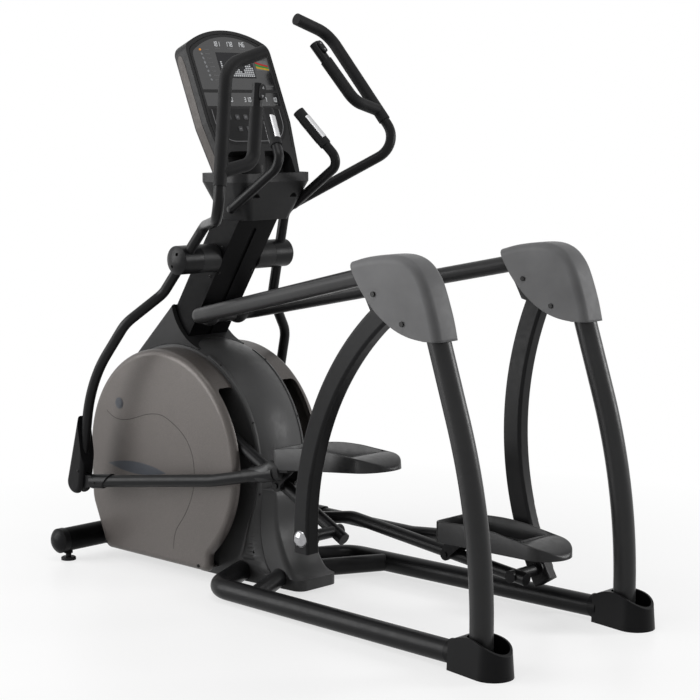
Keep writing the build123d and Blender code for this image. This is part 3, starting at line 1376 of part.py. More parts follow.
def write_nodes():
    for name, side in SIDES.items():
        pose = POSE[side]
        save(f"{name}_base_rail", on_side(base_rail(), side))
        save(f"{name}_upright", on_side(upright_bar(UPRIGHT_OD, UPRIGHT_WALL), side))
        save(f"{name}_foot_boot", on_side(foot_boot(), side))
        save(f"{name}_shoulder_cover", on_side(shoulder_cover(), side))
        save(f"{name}_upper_rail", on_side(upper_rail(), side))
        save(f"{name}_side_cover", on_side(side_cover(), side))
        save(f"{name}_swing_arm", put(swing_arm(), side, SWING_PIVOT, pose["swing"]))
        save(f"{name}_pedal_tube", put(pedal_tube(), side, pose["low"], pose["tube"]))
        save(f"{name}_link_tube", put(link_tube(), side, pose["knee"], pose["link"]))
        save(f"{name}_pedal", put(pedal(), side, pose["knee"], pose["link"]))
        save(f"{name}_handle_arm", put(handle_arm(), side, HANDLE_PIVOT, pose["handle"]))
        save(f"{name}_handle_grip", put(handle_grip(), side, HANDLE_PIVOT, pose["handle"]))
        save(f"{name}_thumb_switch", put(thumb_switch(), side, HANDLE_PIVOT, pose["handle"]))
        save(f"{name}_arm_knuckle", put(arm_knuckle(), side, HANDLE_PIVOT, pose["handle"]))
    save("front_stabiliser", front_stabiliser())
    save("stabiliser_end_caps", stabiliser_end_caps())
    save("levelling_feet", levelling_feet())
    save("main_frame", main_frame())
    save("cross_tubes", both(cross_tube()))
    save("shoulder_brackets", both(shoulder_bracket()))
    save("shoulder_bolts", shoulder_bolts())
    save("rail_cross_tube", rail_cross_tube())
    save("rail_joint_covers", both(rail_joint_cover()))
    save("mast_post", mast_post())
    save("mast_front_cover", mast_front_cover())
    save("mast_rear_cover", mast_rear_cover())
    save("mast_boot", mast_boot())
    save("spine_cover", spine_cover())
    save("pivot_sleeves", both(pivot_sleeve()))
    save("pivot_axle", pivot_axle())
    save("console_housing", console_housing())
    save("console_display", console_display())
    save("console_keypad", console_keypad())
    save("console_tray", console_tray())
    save("pulse_handles", both(pulse_handle()))
    save("pulse_grips", both(pulse_grip()))
    save("pulse_contacts", both(pulse_contacts()))
    save("crank_axle", crank_axle())
    save("crank_arms", Compound(children=[*crank_arm(LEFT).solids(), *crank_arm(RIGHT).solids()]))
    save("crank_bearings", crank_bearings())
    save("drive_pulley", drive_pulley())
    save("drive_belt", drive_belt())
    save("idler_pulley", idler_pulley())
    save("flywheel", flywheel())
    save("flywheel_axle", flywheel_axle())
    save("brake_unit", brake_unit())


write_nodes()
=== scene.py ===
import json
from math import copysign, cos, pi, radians, sin, tan

import bmesh
import bpy
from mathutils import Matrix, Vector
from mathutils.bvhtree import BVHTree


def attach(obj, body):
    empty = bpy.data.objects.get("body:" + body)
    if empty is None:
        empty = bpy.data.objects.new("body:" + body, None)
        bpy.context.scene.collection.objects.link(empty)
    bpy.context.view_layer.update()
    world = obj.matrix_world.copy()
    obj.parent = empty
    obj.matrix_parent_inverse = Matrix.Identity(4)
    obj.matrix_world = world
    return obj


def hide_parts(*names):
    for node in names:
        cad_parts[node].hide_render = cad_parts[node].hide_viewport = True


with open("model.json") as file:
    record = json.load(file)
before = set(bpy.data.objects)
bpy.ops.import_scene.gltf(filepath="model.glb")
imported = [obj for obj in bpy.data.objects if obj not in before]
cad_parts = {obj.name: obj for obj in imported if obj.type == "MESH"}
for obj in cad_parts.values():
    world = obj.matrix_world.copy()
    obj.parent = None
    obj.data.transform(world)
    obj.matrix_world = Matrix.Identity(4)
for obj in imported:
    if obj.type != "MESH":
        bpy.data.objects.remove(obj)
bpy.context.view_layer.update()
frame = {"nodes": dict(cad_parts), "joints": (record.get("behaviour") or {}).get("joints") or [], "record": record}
nodes = frame["nodes"]

# The frame has x to the right, y forward and z up, in metres. Lengths below are millimetres, unless they
# are multiplied by MM or their heading says metres. Side-view places are (forward, up). Rays that look for
# a surface start RAY_START out, and edges bent more than CREASE stay sharp on smooth pieces.
MM = 0.001
LEFT, RIGHT = -1, 1
SIDE_NAMES = {LEFT: "left", RIGHT: "right"}
ACROSS = Vector((1, 0, 0))
RAY_START = 600 * MM
CREASE = radians(50)
CURVE_STEPS = 5

# Camera, solved from the photograph, in metres; the lens and the sensor are in millimetres
CAMERA_AT = Vector((-3.8741, -3.7748, 1.4361))
CAMERA_YAW = radians(46.36)
CAMERA_DIP = radians(7.37)
CAMERA_LENS = 94.6
CAMERA_SENSOR = 36
CAMERA_REACH = 100

# Studio, in metres and watts. The floor's glow grows with the distance from its middle.
# Each lamp has its name, place, aim, size and power.
FLOOR_HALF = 30
FLOOR_COLOUR = (0.92, 0.92, 0.92, 1)
FLOOR_ROUGHNESS = 0.35
FLOOR_FADE = (0.9, 2.1)
FLOOR_GLOW = (0.66, 1)
WORLD_FILL = 0.20
LAMPS = (
    ("key", (-3, 2.6, 1.7), (0, 0.2, 0.7), (2.8, 2.8), 150),
    ("overhead", (-0.8, -0.6, 4), (0, 0.1, 0.6), (2.4, 0.8), 50),
    ("rear_right", (2.8, -2.7, 1.8), (0, 0.2, 0.5), (1.2, 1.6), 70),
)

# Texture scales, per metre, and depths of relief
CLOUD_SCALE = 7
GLOSS_SCALE = 55
GRAIN_DEPTH = 0.4 * MM
FLAKE_SCALE = 1400
FLAKE_CLOUD_SCALE = 5
FLAKE_GLOSS_SCALE = 60
FLAKE_GRAIN_SCALE = 1100
FLAKE_GRAIN_DEPTH = 0.3 * MM
STREAK_SCALE = 60
SMEAR_SCALE = 18
LIT_CLOUD_SCALE = 90
EDGE_SOFTNESS = 1.6 * MM

# Screws: their profile as (share of the radius, lift), the innermost levels being the hexagon socket
SCREW_PROFILE = ((1, 0), (1, 0.22), (0.86, 0.42), (0.62, 0.52), (0.42, 0.54), (0.42, 0.2))
SCREW_SOCKET = 0.42
SCREW_HEXAGON = 0.12
SCREW_STEPS = 24

# Side covers in side view
COVER_SEAM = (
    (868, 514), (831, 492), (788, 466), (746, 463), (701, 470), (620, 497), (569, 502), (536, 497),
    (485, 474), (443, 445), (416, 408), (404, 372), (401, 328), (406, 284), (423, 241), (447, 199),
    (471, 170), (491, 145), (501, 112), (503, 79), (501, 40),
)
SEAM_SINK = 0.3 * MM
SEAM_R = 0.8 * MM
STUD_AT = (758, 516)
STUD_R = 18 * MM
STUD_LEVELS = ((1, 1.4 * MM), (0.72, 2.4 * MM))
STUD_STEPS = 36
LENS_ENDS = ((817, 316), (535, 318))
LENS_TOP = 336
LENS_LOW = 298
LENS_STEPS = 18
LENS_THICK = 1.2 * MM
COVER_SCREWS = ((388, 48), (836, 52))
COVER_SCREW_R = 6 * MM

# Middle cover: the arc of its rear edge about the housing's middle, in degrees, the run below the arc,
# and the section of its lip as (across, out)
HOUSING_C = (566, 356)
SPINE_ARC_START = 112
SPINE_ARC_SWEEP = 84
SPINE_ARC_STEPS = 36
SPINE_RUN_TOP = 258
SPINE_RUN_PITCH = 12.1
SPINE_RUN_STEPS = 20
SPINE_RUN_FROM = -200
FLANGE_SECTION = ((100.5, -0.5), (100, 2.6), (89, 2.6), (87.5, -0.5))
FLANGE_SCREW_FIRST = 4
FLANGE_SCREW_EVERY = 15
FLANGE_SCREW_R = 4 * MM

# Mast in side view; its rear screws stand at both sides of its middle
MAST_LEAN = radians(32.4)
MAST_SIDE_SCREWS = ((381, 1026), (438, 934), (556, 744))
MAST_SIDE_SCREW_R = 5 * MM
MAST_REAR_SCREWS = ((300, 1110), (402, 940))
MAST_REAR_SCREW_X = 69
MAST_REAR_SCREW_R = 4.5 * MM
MAST_RAY_START = 100 * MM

# Console face, in metres: foot of its middle line, direction up the face and out of it
FACE_FOOT = Vector((0, 0.302, 1.308))
FACE_LEAN = radians(22.6)
FACE_UP = Vector((0, sin(FACE_LEAN), cos(FACE_LEAN)))
FACE_OUT = Vector((0, -cos(FACE_LEAN), sin(FACE_LEAN)))

# Console housing, up its face, and the skin on its sides: (up, shares of the depth where it starts and ends)
CONSOLE_LOW = -84
CONSOLE_WAIST = 105
CONSOLE_HALF_LOW = 148
CONSOLE_HALF_TOP = 174
BAND_FRONT = -22
BAND_BACK = -52
BAND_SKIN = (-0.4, 0.8)
BAND_STATIONS = (
    (CONSOLE_LOW + 30, 0, 1), (CONSOLE_WAIST, 0, 1), (300, 0, 1), (324, 0.12, 0.86),
    (334, 0.3, 0.62),
)

# Marks on the console's face are placed across and up it, and lifted out of it
MARK_LIFT = 0.1
MARK_THICK = 0.5
PANEL_LIFT = 0.05
ON_PANEL_LIFT = 0.6

# Lit figures: the strokes of each, their proportions, then rows of (up, height, pitch, numbers and places)
STROKES = {
    "0": "abcdef", "1": "bc", "2": "abged", "3": "abgcd", "4": "fgbc",
    "5": "afgcd", "6": "afgedc", "7": "abc", "8": "abcdefg", "9": "abcdfg",
}
STROKE_WIDTH = 0.10
STROKE_GAP = 0.3
FIGURE_WIDTH = 0.5
FIGURE_SLANT = 0.1
FIGURE_ROWS = (
    (354, 16, 10, (("181", -60), ("178", -8), ("146", 42))),
    (172, 15, 10.5, (("20", -62), ("310", 4), ("7", 92), ("10", 124))),
)

# Plain bars where the printed words stand: left ends, length, lower and upper edge
LABEL_ROWS = (
    ((-58, -6, 44), 24, 346, 348),
    ((100,), 46, 224, 226),
    ((92,), 48, 218, 219.5),
    ((-62, 6, 90, 122), 20, 164, 165.5),
)

# Column of icons with a bar beside each
ICON_COUNT = 8
ICON_FIRST = (-118, 342)
ICON_PITCH = (1.8, -14)
ICON_R = 4.2
ICON_WAVE = 0.3
ICON_STEPS = 12
ICON_LABEL_AT = (14, -1)
ICON_LABEL_SIZE = (20, 2)

# Dot panel: columns of dots whose heights follow a wave
PANEL_X = (-58, 84)
PANEL_UP = (250, 334)
DOT_COLUMNS = 16
DOT_FIRST = (-50, 256)
DOT_PITCH = (8.2, 6.4)
DOT_SIZE = (5.6, 3.4)
HILL_FOOT = 2
HILL_SWING = 3.2
HILL_PITCH = 0.9
HILL_START = 2.2

# Zone chart: each band's look and its heights at both ends
CHART_X = (94, 146)
CHART_UP = (277, 309)
CHART_BANDS = (("chart_red", 30, 17), ("chart_green", 22, 11), ("chart_yellow", 14, 6))
CHART_BAND_HEIGHT = 6
CHART_BOW = 0.7
CHART_STEPS = 12

# Keypad: the line round it, then rows of keys as (up, count)
KEYPAD_LOW = 44
KEYPAD_TOP = 148
KEYPAD_HALF = 140
KEYPAD_CORNER = 66
KEYPAD_CORNER_STEPS = 8
KEYPAD_LINE_LIFT = 0.3
KEYPAD_LINE_R = 0.8 * MM
KEY_ROWS = ((122, 5), (84, 3))
KEY_MIDDLE = -11
KEY_PITCH = 34
KEY_HALF = 8
KEY_SQUARENESS = 0.35
KEY_STEPS = 24
KEY_THICK = 1.4
KEY_MARK_HALF = (3.5, 1.2)
KEY_MARK_LIFT = 1.6

# Arrowheads on the thumb switches, along the switch from its pivot
ARROW_TIP = 17 * MM
ARROW_LENGTH = 8 * MM
ARROW_HALF = 4.5 * MM
ARROW_SINK = 0.1 * MM
ARROW_THICK = 0.5 * MM

# Domes on the lower pivots, and screws of the foot links at rest, in side view
DOME_R = 26 * MM
DOME_H = 16 * MM
DOME_LIFT = 0.8 * MM
DOME_LEVELS = 9
DOME_STEPS = 40
KNUCKLE_SCREW = {LEFT: (818, 305), RIGHT: (427, 200)}
KNUCKLE_SCREW_R = 5 * MM
LINK_SCREW = {LEFT: (757, 272), RIGHT: (340, 154)}
LINK_SCREW_R = 4.5 * MM

# Shoulder covers in side view: top and rear edge from the nose back, then the lower edge forward again
SHOULDER_X = 315
SHOULDER_HALF = 47
SHOULDER_ROUND = 22
SHOULDER_ROUND_STEPS = 7
SHOULDER_LIP = 2
SHOULDER_WALL = 3 * MM
SHOULDER_TOP = (
    (-418, 1043), (-470, 1057), (-534, 1067), (-582, 1069), (-616, 1063), (-644, 1049), (-667, 1027),
    (-686, 997), (-705, 950), (-721, 902), (-733, 853),
)
SHOULDER_LOW = ((-684, 852), (-634, 858), (-585, 873), (-540, 898), (-500, 930), (-464, 969), (-437, 1008))
BRACKET_OUTLINE = (
    (-698, 905), (-640, 890), (-580, 885), (-500, 905), (-455, 985), (-452, 1040), (-534, 1058),
    (-600, 1056), (-630, 1044), (-655, 1022), (-672, 990),
)
BRACKET_REACH = (33, 41)
SWING_PIN = (-550, 938)
SWING_PIN_R = 15
SWING_PIN_STEPS = 32

# Uprights in side view: place and foot, height of the bend's middle, lean above it, radius and end
UPRIGHT_R = 31.75 * MM
UPRIGHT_Y = -848
UPRIGHT_FOOT = 12
UPRIGHT_KNEE = 393
UPRIGHT_LEAN = radians(18.2)
UPRIGHT_BEND = 1700
UPRIGHT_BEND_STEPS = 24
UPRIGHT_END = 925
UPRIGHT_STEPS = 48

# Pedals in their own frame, from the foot pivot: sides, ends and underside, then the heights of wall and
# tread along them, and the rim as (inset, fall from the edge, fall where the wall stands above the tread)
PEDAL_X = (40, 196)
PEDAL_Y = (-432, -12)
PEDAL_BASE = 52
PEDAL_CORNER = 24
PEDAL_CORNER_LEAST = 1
PEDAL_CORNER_STEPS = 6
PEDAL_ARC = 32
PEDAL_SIDE = 40
PEDAL_CREASE = radians(45)
PEDAL_WALL_TOP = (
    (-432, 58), (-424, 68), (-405, 80), (-375, 90), (-335, 97), (-290, 104), (-230, 113), (-142, 118),
    (-12, 112),
)
PEDAL_TREAD = (
    (-432, 58), (-424, 68), (-405, 80), (-375, 90), (-340, 95), (-310, 92), (-275, 80), (-240, 69),
    (-200, 64), (-12, 64),
)
PEDAL_RIM = ((0, 3, 0), (0.8, 1, 0), (2.4, 0, 0), (4.6, 0, 0.4), (6, 0, 2.5))
PEDAL_FULL_WALL = 12
TREAD_INSETS = (8, 14, 30, 46, 60, 70, 76)
RIB_FIRST = -325
RIB_PITCH = 12
RIB_COUNT = 12
RIB_SPREAD = (-54, -18, 18, 54)
RIB_R = 2.4 * MM
SOLE_DOWN = -0.7
SOLE_TILT = 0.01

# Sockets of the link tubes in the pedal's frame: (share of the axis, half width, half height, lift)
SOCKET_AXIS = (Vector((186, -40, 44)), Vector((195.6, 48, 34.1)))
SOCKET_SECTIONS = (
    (0, 12, 24, 2), (0.25, 20.5, 30, 8), (0.4, 22, 28, 5.5),
    (0.6, 22.4, 25, 2.2), (0.8, 22.4, 23, 0.6), (1, 22.4, 22.4, 0),
)
SOCKET_SLANT = 28
SOCKET_STEPS = 40


# Materials. Colours vary by shares of themselves, and roughness by steps up and down.

def new_material(name):
    """A new material, its node tree and its Principled shader."""
    material = bpy.data.materials.new(name)
    material.use_nodes = True
    tree = material.node_tree
    return material, tree, tree.nodes["Principled BSDF"]


def settle(node, values):
    """Sets sockets of a node to plain values."""
    for socket, value in values.items():
        node.inputs[socket].default_value = value


def noise(tree, scale, detail=4, roughness=0.55):
    """Noise texture in object coordinates, which are metres in the shared frame."""
    coords = tree.nodes.new("ShaderNodeTexCoord")
    texture = tree.nodes.new("ShaderNodeTexNoise")
    settle(texture, {"Scale": scale, "Detail": detail, "Roughness": roughness})
    tree.links.new(coords.outputs["Object"], texture.inputs["Vector"])
    return texture.outputs["Fac"]


def ramp(tree, source, low, high, start=0.3, end=0.7):
    """Colour ramp between two colours or grey levels."""
    node = tree.nodes.new("ShaderNodeValToRGB")
    node.color_ramp.elements[0].position = start
    node.color_ramp.elements[1].position = end
    for element, value in zip(node.color_ramp.elements, (low, high)):
        grey = value if isinstance(value, tuple) else (value,) * 3
        element.color = (*grey, 1)
    tree.links.new(source, node.inputs["Fac"])
    return node.outputs["Color"]


def vary(tree, shader, socket, source, low, high):
    """Lets a socket of the shader wander between two values with a texture."""
    tree.links.new(ramp(tree, source, low, high), shader.inputs[socket])


def bump(tree, shader, source, strength, distance):
    """Fine relief on a shader's normal, over edges that are softened as moulded and painted ones are."""
    soft = tree.nodes.new("ShaderNodeBevel")
    soft.samples = 4
    settle(soft, {"Radius": EDGE_SOFTNESS})
    node = tree.nodes.new("ShaderNodeBump")
    tree.links.new(soft.outputs["Normal"], node.inputs["Normal"])
    settle(node, {"Strength": strength, "Distance": distance})
    tree.links.new(source, node.inputs["Height"])
    tree.links.new(node.outputs["Normal"], shader.inputs["Normal"])


def shade(colour, factor):
    """A colour made darker or lighter."""
    return tuple(min(1, c * factor) for c in colour)


def moulded(name, colour, rough, grain, relief, shine, metallic=0):
    """Moulded or coated surface: slight cloudiness, uneven gloss and a fine even grain."""
    material, tree, shader = new_material(name)
    cloud, gloss = noise(tree, CLOUD_SCALE, 3), noise(tree, GLOSS_SCALE, 5)
    vary(tree, shader, "Base Color", cloud, shade(colour, 0.86), shade(colour, 1.12))
    vary(tree, shader, "Roughness", gloss, rough - 0.05, rough + 0.06)
    bump(tree, shader, noise(tree, grain, 2), relief, GRAIN_DEPTH)
    settle(shader, {"Metallic": metallic, "Specular IOR Level": shine})
    return material


def flaked(name, colour, rough):
    """Metallic moulding: fine bright flakes in a clouded base."""
    material, tree, shader = new_material(name)
    coords = tree.nodes.new("ShaderNodeTexCoord")
    cells = tree.nodes.new("ShaderNodeTexVoronoi")
    settle(cells, {"Scale": FLAKE_SCALE})
    tree.links.new(coords.outputs["Object"], cells.inputs["Vector"])
    separate = tree.nodes.new("ShaderNodeSeparateColor")
    tree.links.new(cells.outputs["Color"], separate.inputs["Color"])
    flakes = ramp(tree, separate.outputs["Red"], shade(colour, 0.9), shade(colour, 1.45), 0.55, 0.98)
    cloud = ramp(tree, noise(tree, FLAKE_CLOUD_SCALE, 2), 0.93, 1)
    mix = tree.nodes.new("ShaderNodeMix")
    mix.data_type = "RGBA"
    mix.blend_type = "MULTIPLY"
    settle(mix, {"Factor": 1})
    tree.links.new(flakes, mix.inputs["A"])
    tree.links.new(cloud, mix.inputs["B"])
    tree.links.new(mix.outputs["Result"], shader.inputs["Base Color"])
    vary(tree, shader, "Roughness", noise(tree, FLAKE_GLOSS_SCALE), rough - 0.04, rough + 0.05)
    bump(tree, shader, noise(tree, FLAKE_GRAIN_SCALE, 2), 0.12, FLAKE_GRAIN_DEPTH)
    settle(shader, {"Metallic": 0.3, "Specular IOR Level": 0.3})
    return material


def brushed(name, colour, rough, stretch):
    """Bright metal with fine streaks."""
    material, tree, shader = new_material(name)
    coords = tree.nodes.new("ShaderNodeTexCoord")
    mapping = tree.nodes.new("ShaderNodeMapping")
    settle(mapping, {"Scale": stretch})
    texture = tree.nodes.new("ShaderNodeTexNoise")
    settle(texture, {"Scale": STREAK_SCALE})
    tree.links.new(coords.outputs["Object"], mapping.inputs["Vector"])
    tree.links.new(mapping.outputs["Vector"], texture.inputs["Vector"])
    streaks = texture.outputs["Fac"]
    vary(tree, shader, "Base Color", streaks, shade(colour, 0.85), shade(colour, 1.1))
    vary(tree, shader, "Roughness", streaks, rough - 0.06, rough + 0.1)
    settle(shader, {"Metallic": 1})
    return material


def tinted(name, colour, rough):
    """Dark glossy window with faint smears."""
    material, tree, shader = new_material(name)
    smear = noise(tree, SMEAR_SCALE, 6, 0.7)
    vary(tree, shader, "Base Color", smear, shade(colour, 0.8), shade(colour, 1.25))
    vary(tree, shader, "Roughness", smear, rough, rough + 0.09)
    settle(shader, {"Coat Weight": 0.6, "Coat Roughness": 0.08})
    return material


def lit(name, colour, strength):
    """Lit segment or printed mark behind the window, with slightly uneven brightness. The pale print on the keypad
    and on the thumb switches is made this way too, so that it glows as painted light with no lamp behind it.
    """
    material, tree, shader = new_material(name)
    cloud = noise(tree, LIT_CLOUD_SCALE, 2)
    vary(tree, shader, "Base Color", cloud, shade(colour, 0.06), shade(colour, 0.1))
    vary(tree, shader, "Emission Color", cloud, shade(colour, 0.82), colour)
    settle(shader, {"Emission Strength": strength, "Specular IOR Level": 0.1, "Roughness": 0.4})
    return material


# Each look: moulded has colour, roughness, grain scale, relief, specular level and metal share; flaked and
# tinted have colour and roughness; brushed adds the stretch of its streaks; lit has colour and strength
LOOKS = {
    "black_paint": (moulded, (0.007, 0.007, 0.0075), 0.34, 520, 0.04, 0.12),
    "grey_paint": (moulded, (0.016, 0.016, 0.0165), 0.33, 620, 0.03, 0.24),
    "charcoal": (moulded, (0.017, 0.017, 0.0175), 0.42, 1100, 0.18, 0.12),
    # Gunmetal grey of the shoulder covers, with the colour lifted well above it as painted sheen from the key
    # lamp.
    "gunmetal": (moulded, (0.12, 0.12, 0.122), 0.44, 1000, 0.06, 0.12),
    # Charcoal of the middle cover, lifted to a lighter grey as a painted highlight.
    "spine_grey": (moulded, (0.05, 0.05, 0.0505), 0.4, 1100, 0.1, 0.2),
    # Near-black of the mast's plastic; on the front stabiliser the same near-black is painted shade.
    "mast_black": (moulded, (0.003, 0.003, 0.0033), 0.42, 900, 0.14, 0.04),
    "boot_black": (moulded, (0.007, 0.007, 0.0075), 0.38, 800, 0.1, 0.08),
    "pedal": (moulded, (0.018, 0.018, 0.0185), 0.34, 900, 0.1, 0.2),
    "rubber": (moulded, (0.011, 0.011, 0.0115), 0.56, 1500, 0.4, 0.1),
    "taupe": (flaked, (0.088, 0.079, 0.074), 0.4),
    "dark_taupe": (flaked, (0.04, 0.035, 0.032), 0.46),
    "window": (tinted, (0.008, 0.008, 0.009), 0.12),
    "keypad": (moulded, (0.01, 0.01, 0.0105), 0.34, 1300, 0.15, 0.12),
    "steel": (brushed, (0.56, 0.56, 0.57), 0.26, (1, 1, 40)),
    "chrome": (brushed, (0.34, 0.34, 0.35), 0.16, (1, 1, 1)),
    "iron": (brushed, (0.2, 0.2, 0.21), 0.42, (30, 1, 1)),
    "dark_screw": (moulded, (0.006, 0.006, 0.006), 0.3, 300, 0.1, 0.15),
    "groove": (moulded, (0.004, 0.004, 0.004), 0.7, 500, 0.1, 0.05),
    "badge": (moulded, (0.05, 0.054, 0.063), 0.33, 700, 0.1, 0.22, 0.2),
    "led_white": (lit, (0.92, 0.94, 0.96), 0.6),
    "led_dim": (lit, (0.8, 0.82, 0.85), 0.16),
    "led_orange": (lit, (0.95, 0.36, 0.04), 0.75),
    "print_grey": (lit, (0.55, 0.55, 0.56), 0.14),
    # Pale print that glows as painted light, on the keypad and the thumb switches.
    "print_light": (lit, (0.7, 0.7, 0.72), 0.22),
    "panel_grey": (moulded, (0.02, 0.02, 0.022), 0.3, 900, 0.1, 0.12),
    "key_grey": (moulded, (0.06, 0.06, 0.063), 0.4, 900, 0.1, 0.15),
    "chart_red": (lit, (0.75, 0.05, 0.04), 0.4),
    "chart_green": (lit, (0.05, 0.42, 0.1), 0.4),
    "chart_yellow": (lit, (0.9, 0.58, 0.05), 0.4),
    "chart_grey": (lit, (0.4, 0.4, 0.4), 0.25),
}
MATERIALS = {name: make(name, *values) for name, (make, *values) in LOOKS.items()}

# Looks of the CAD nodes: by record slot, and by node where one differs from its slot
SLOT_LOOK = {
    "frame_black": "black_paint",
    "frame_grey": "grey_paint",
    "cover_taupe": "taupe",
    "moulded_charcoal": "charcoal",
    "pedal_black": "pedal",
    "grip_rubber": "rubber",
    "display_tint": "window",
    "bright_steel": "steel",
    "pulley_black": "keypad",
    "flywheel_iron": "iron",
}
NODE_LOOK = {
    "stabiliser_end_caps": "boot_black",
    "shoulder_bolts": "dark_screw",
    "console_keypad": "keypad",
    "pulse_handles": "black_paint",
    # The middle cover's lighter grey is a painted highlight on its charcoal.
    "spine_cover": "spine_grey",
    # The front stabiliser takes the mast's deeper black instead of its own black paint; the difference is painted
    # shade under it.
    "front_stabiliser": "mast_black",
    "mast_front_cover": "mast_black",
    "mast_rear_cover": "mast_black",
}
PAIR_LOOK = {
    "foot_boot": "boot_black",
    "swing_arm": "black_paint",
    "handle_arm": "black_paint",
    "arm_knuckle": "boot_black",
}


def dress_nodes():
    """Gives every CAD node its finish."""
    looks = dict(NODE_LOOK)
    for name in SIDE_NAMES.values():
        looks.update({f"{name}_{node}": look for node, look in PAIR_LOOK.items()})
    for part in frame["record"]["subparts"]:
        look = looks.get(part["node"], SLOT_LOOK[part["material_slot"]])
        node = nodes[part["node"]]
        node.data.materials.clear()
        node.data.materials.append(MATERIALS[look])


# Building pieces

def add_object(name, data):
    """Puts a new object with some data into the scene."""
    thing = bpy.data.objects.new(name, data)
    bpy.context.scene.collection.objects.link(thing)
    return thing


def finish_piece(piece, look, body):
    """Gives a new piece its finish and body."""
    piece.data.materials.append(MATERIALS[look])
    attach(piece, body)
    return piece


def mesh_piece(name, mesh, look, body="frame", smooth=False, crease=None):
    """Turns a bmesh into a piece, with its edges kept sharp above a crease angle where one is given."""
    data = bpy.data.meshes.new(name)
    mesh.normal_update()
    mesh.to_mesh(data)
    mesh.free()
    for polygon in data.polygons:
        polygon.use_smooth = smooth
    if crease is not None:
        data.set_sharp_from_angle(angle=crease)
    return finish_piece(add_object(name, data), look, body)


def line_piece(name, runs, radius, look, body="frame"):
    """Thin round bead along one or more runs of points."""
    data = bpy.data.curves.new(name, "CURVE")
    data.dimensions = "3D"
    data.bevel_depth = radius
    data.bevel_resolution = 2
    for points in runs:
        spline = data.splines.new("NURBS")
        spline.points.add(len(points) - 1)
        for target, point in zip(spline.points, points):
            target.co = (*point, 1)
        spline.use_endpoint_u = True
        spline.order_u = 3
        spline.resolution_u = 6
    return finish_piece(add_object(name, data), look, body)


def turns(count):
    """Angles of a full turn in equal steps."""
    return [2 * pi * i / count for i in range(count)]


def side_way(angle):
    """Direction in side view, by its angle up from forward."""
    return Vector((0, cos(angle), sin(angle)))


def bridge(mesh, rings):
    """Adds the band of faces between each closed ring of vertices and the next."""
    count = len(rings[0])
    for ring, following in zip(rings, rings[1:]):
        for i in range(count):
            j = (i + 1) % count
            mesh.faces.new((ring[i], ring[j], following[j], following[i]))


def skin_piece(name, rings, look, body="frame", smooth=False, crease=None):
    """A closed piece over rings of points: the bands between them and a face at each end."""
    mesh = bmesh.new()
    rings = [[mesh.verts.new(point) for point in ring] for ring in rings]
    bridge(mesh, rings)
    mesh.faces.new(rings[0])
    mesh.faces.new(rings[-1][::-1])
    bmesh.ops.recalc_face_normals(mesh, faces=mesh.faces)
    return mesh_piece(name, mesh, look, body, smooth, crease)


def add_slab(mesh, points, normal, thickness):
    """Adds a closed plate: an outline and its copy pushed along a normal."""
    push = normal * thickness
    low = [mesh.verts.new(p) for p in points]
    high = [mesh.verts.new(p + push) for p in points]
    mesh.faces.new(low[::-1])
    mesh.faces.new(high)
    bridge(mesh, (low, high))


def add_screw(mesh, centre, normal, radius):
    """Adds a domed button screw with a hexagon socket, standing on a surface."""
    normal = normal.normalized()
    side = normal.orthogonal().normalized()
    other = normal.cross(side)
    rings = []
    for reach, lift in SCREW_PROFILE:
        ring = []
        for a in turns(SCREW_STEPS):
            spread = radius * reach
            if reach == SCREW_SOCKET:
                spread *= 1 - SCREW_HEXAGON * abs(sin(3 * a))
            offset = side * cos(a) * spread + other * sin(a) * spread
            ring.append(mesh.verts.new(centre + offset + normal * radius * lift))
        rings.append(ring)
    bridge(mesh, rings)
    mesh.faces.new(rings[-1])
    mesh.faces.new(rings[0][::-1])


def screws(name, places, radius, body="frame"):
    """A set of like screws as one piece."""
    mesh = bmesh.new()
    for centre, normal in places:
        add_screw(mesh, centre, normal, radius)
    mesh_piece(name, mesh, "dark_screw", body)


# Facts of the CAD nodes

def joint_facts(name):
    """The frame's entry for a joint."""
    return next(j for j in frame["joints"] if j["name"] == name)


def surface(name):
    """Search tree over the mesh of a CAD node."""
    data = nodes[name].data
    points = [v.co.copy() for v in data.vertices]
    return BVHTree.FromPolygons(points, [list(p.vertices) for p in data.polygons])


def drop(tree, start, direction):
    """Point and outward normal where a ray first meets a surface."""
    at, normal, _, _ = tree.ray_cast(start, direction)
    if normal.dot(direction) > 0:
        normal = -normal
    return at, normal


def side_drop(tree, side, spot):
    """Where a level ray from one side meets a surface, for a side-view place."""
    y, z = spot
    return drop(tree, Vector((side * RAY_START, y * MM, z * MM)), ACROSS * -side)


# Side covers

def cover_seams(side, name):
    """Parting line of a side cover's inner door."""
    tree = surface(f"{name}_side_cover")
    places = [side_drop(tree, side, spot) for spot in COVER_SEAM]
    run = [at - normal * SEAM_SINK for at, normal in places]
    line_piece(f"{name}_cover_seam", [run], SEAM_R, "groove")


def lens_spots():
    """Side-view outline of the plate on a cover: two bows between its ends."""
    (y0, z0), (y1, z1) = LENS_ENDS
    level = (z0 + z1) / 2
    spots = []
    for start, end, first, last, bow in ((y0, y1, z0, z1, LENS_TOP), (y1, y0, z1, z0, LENS_LOW)):
        for i in range(LENS_STEPS):
            share = i / LENS_STEPS
            chord = first + (last - first) * share
            rise = (bow - level) * 4 * share * (1 - share)
            spots.append((start + (end - start) * share, chord + rise))
    return spots


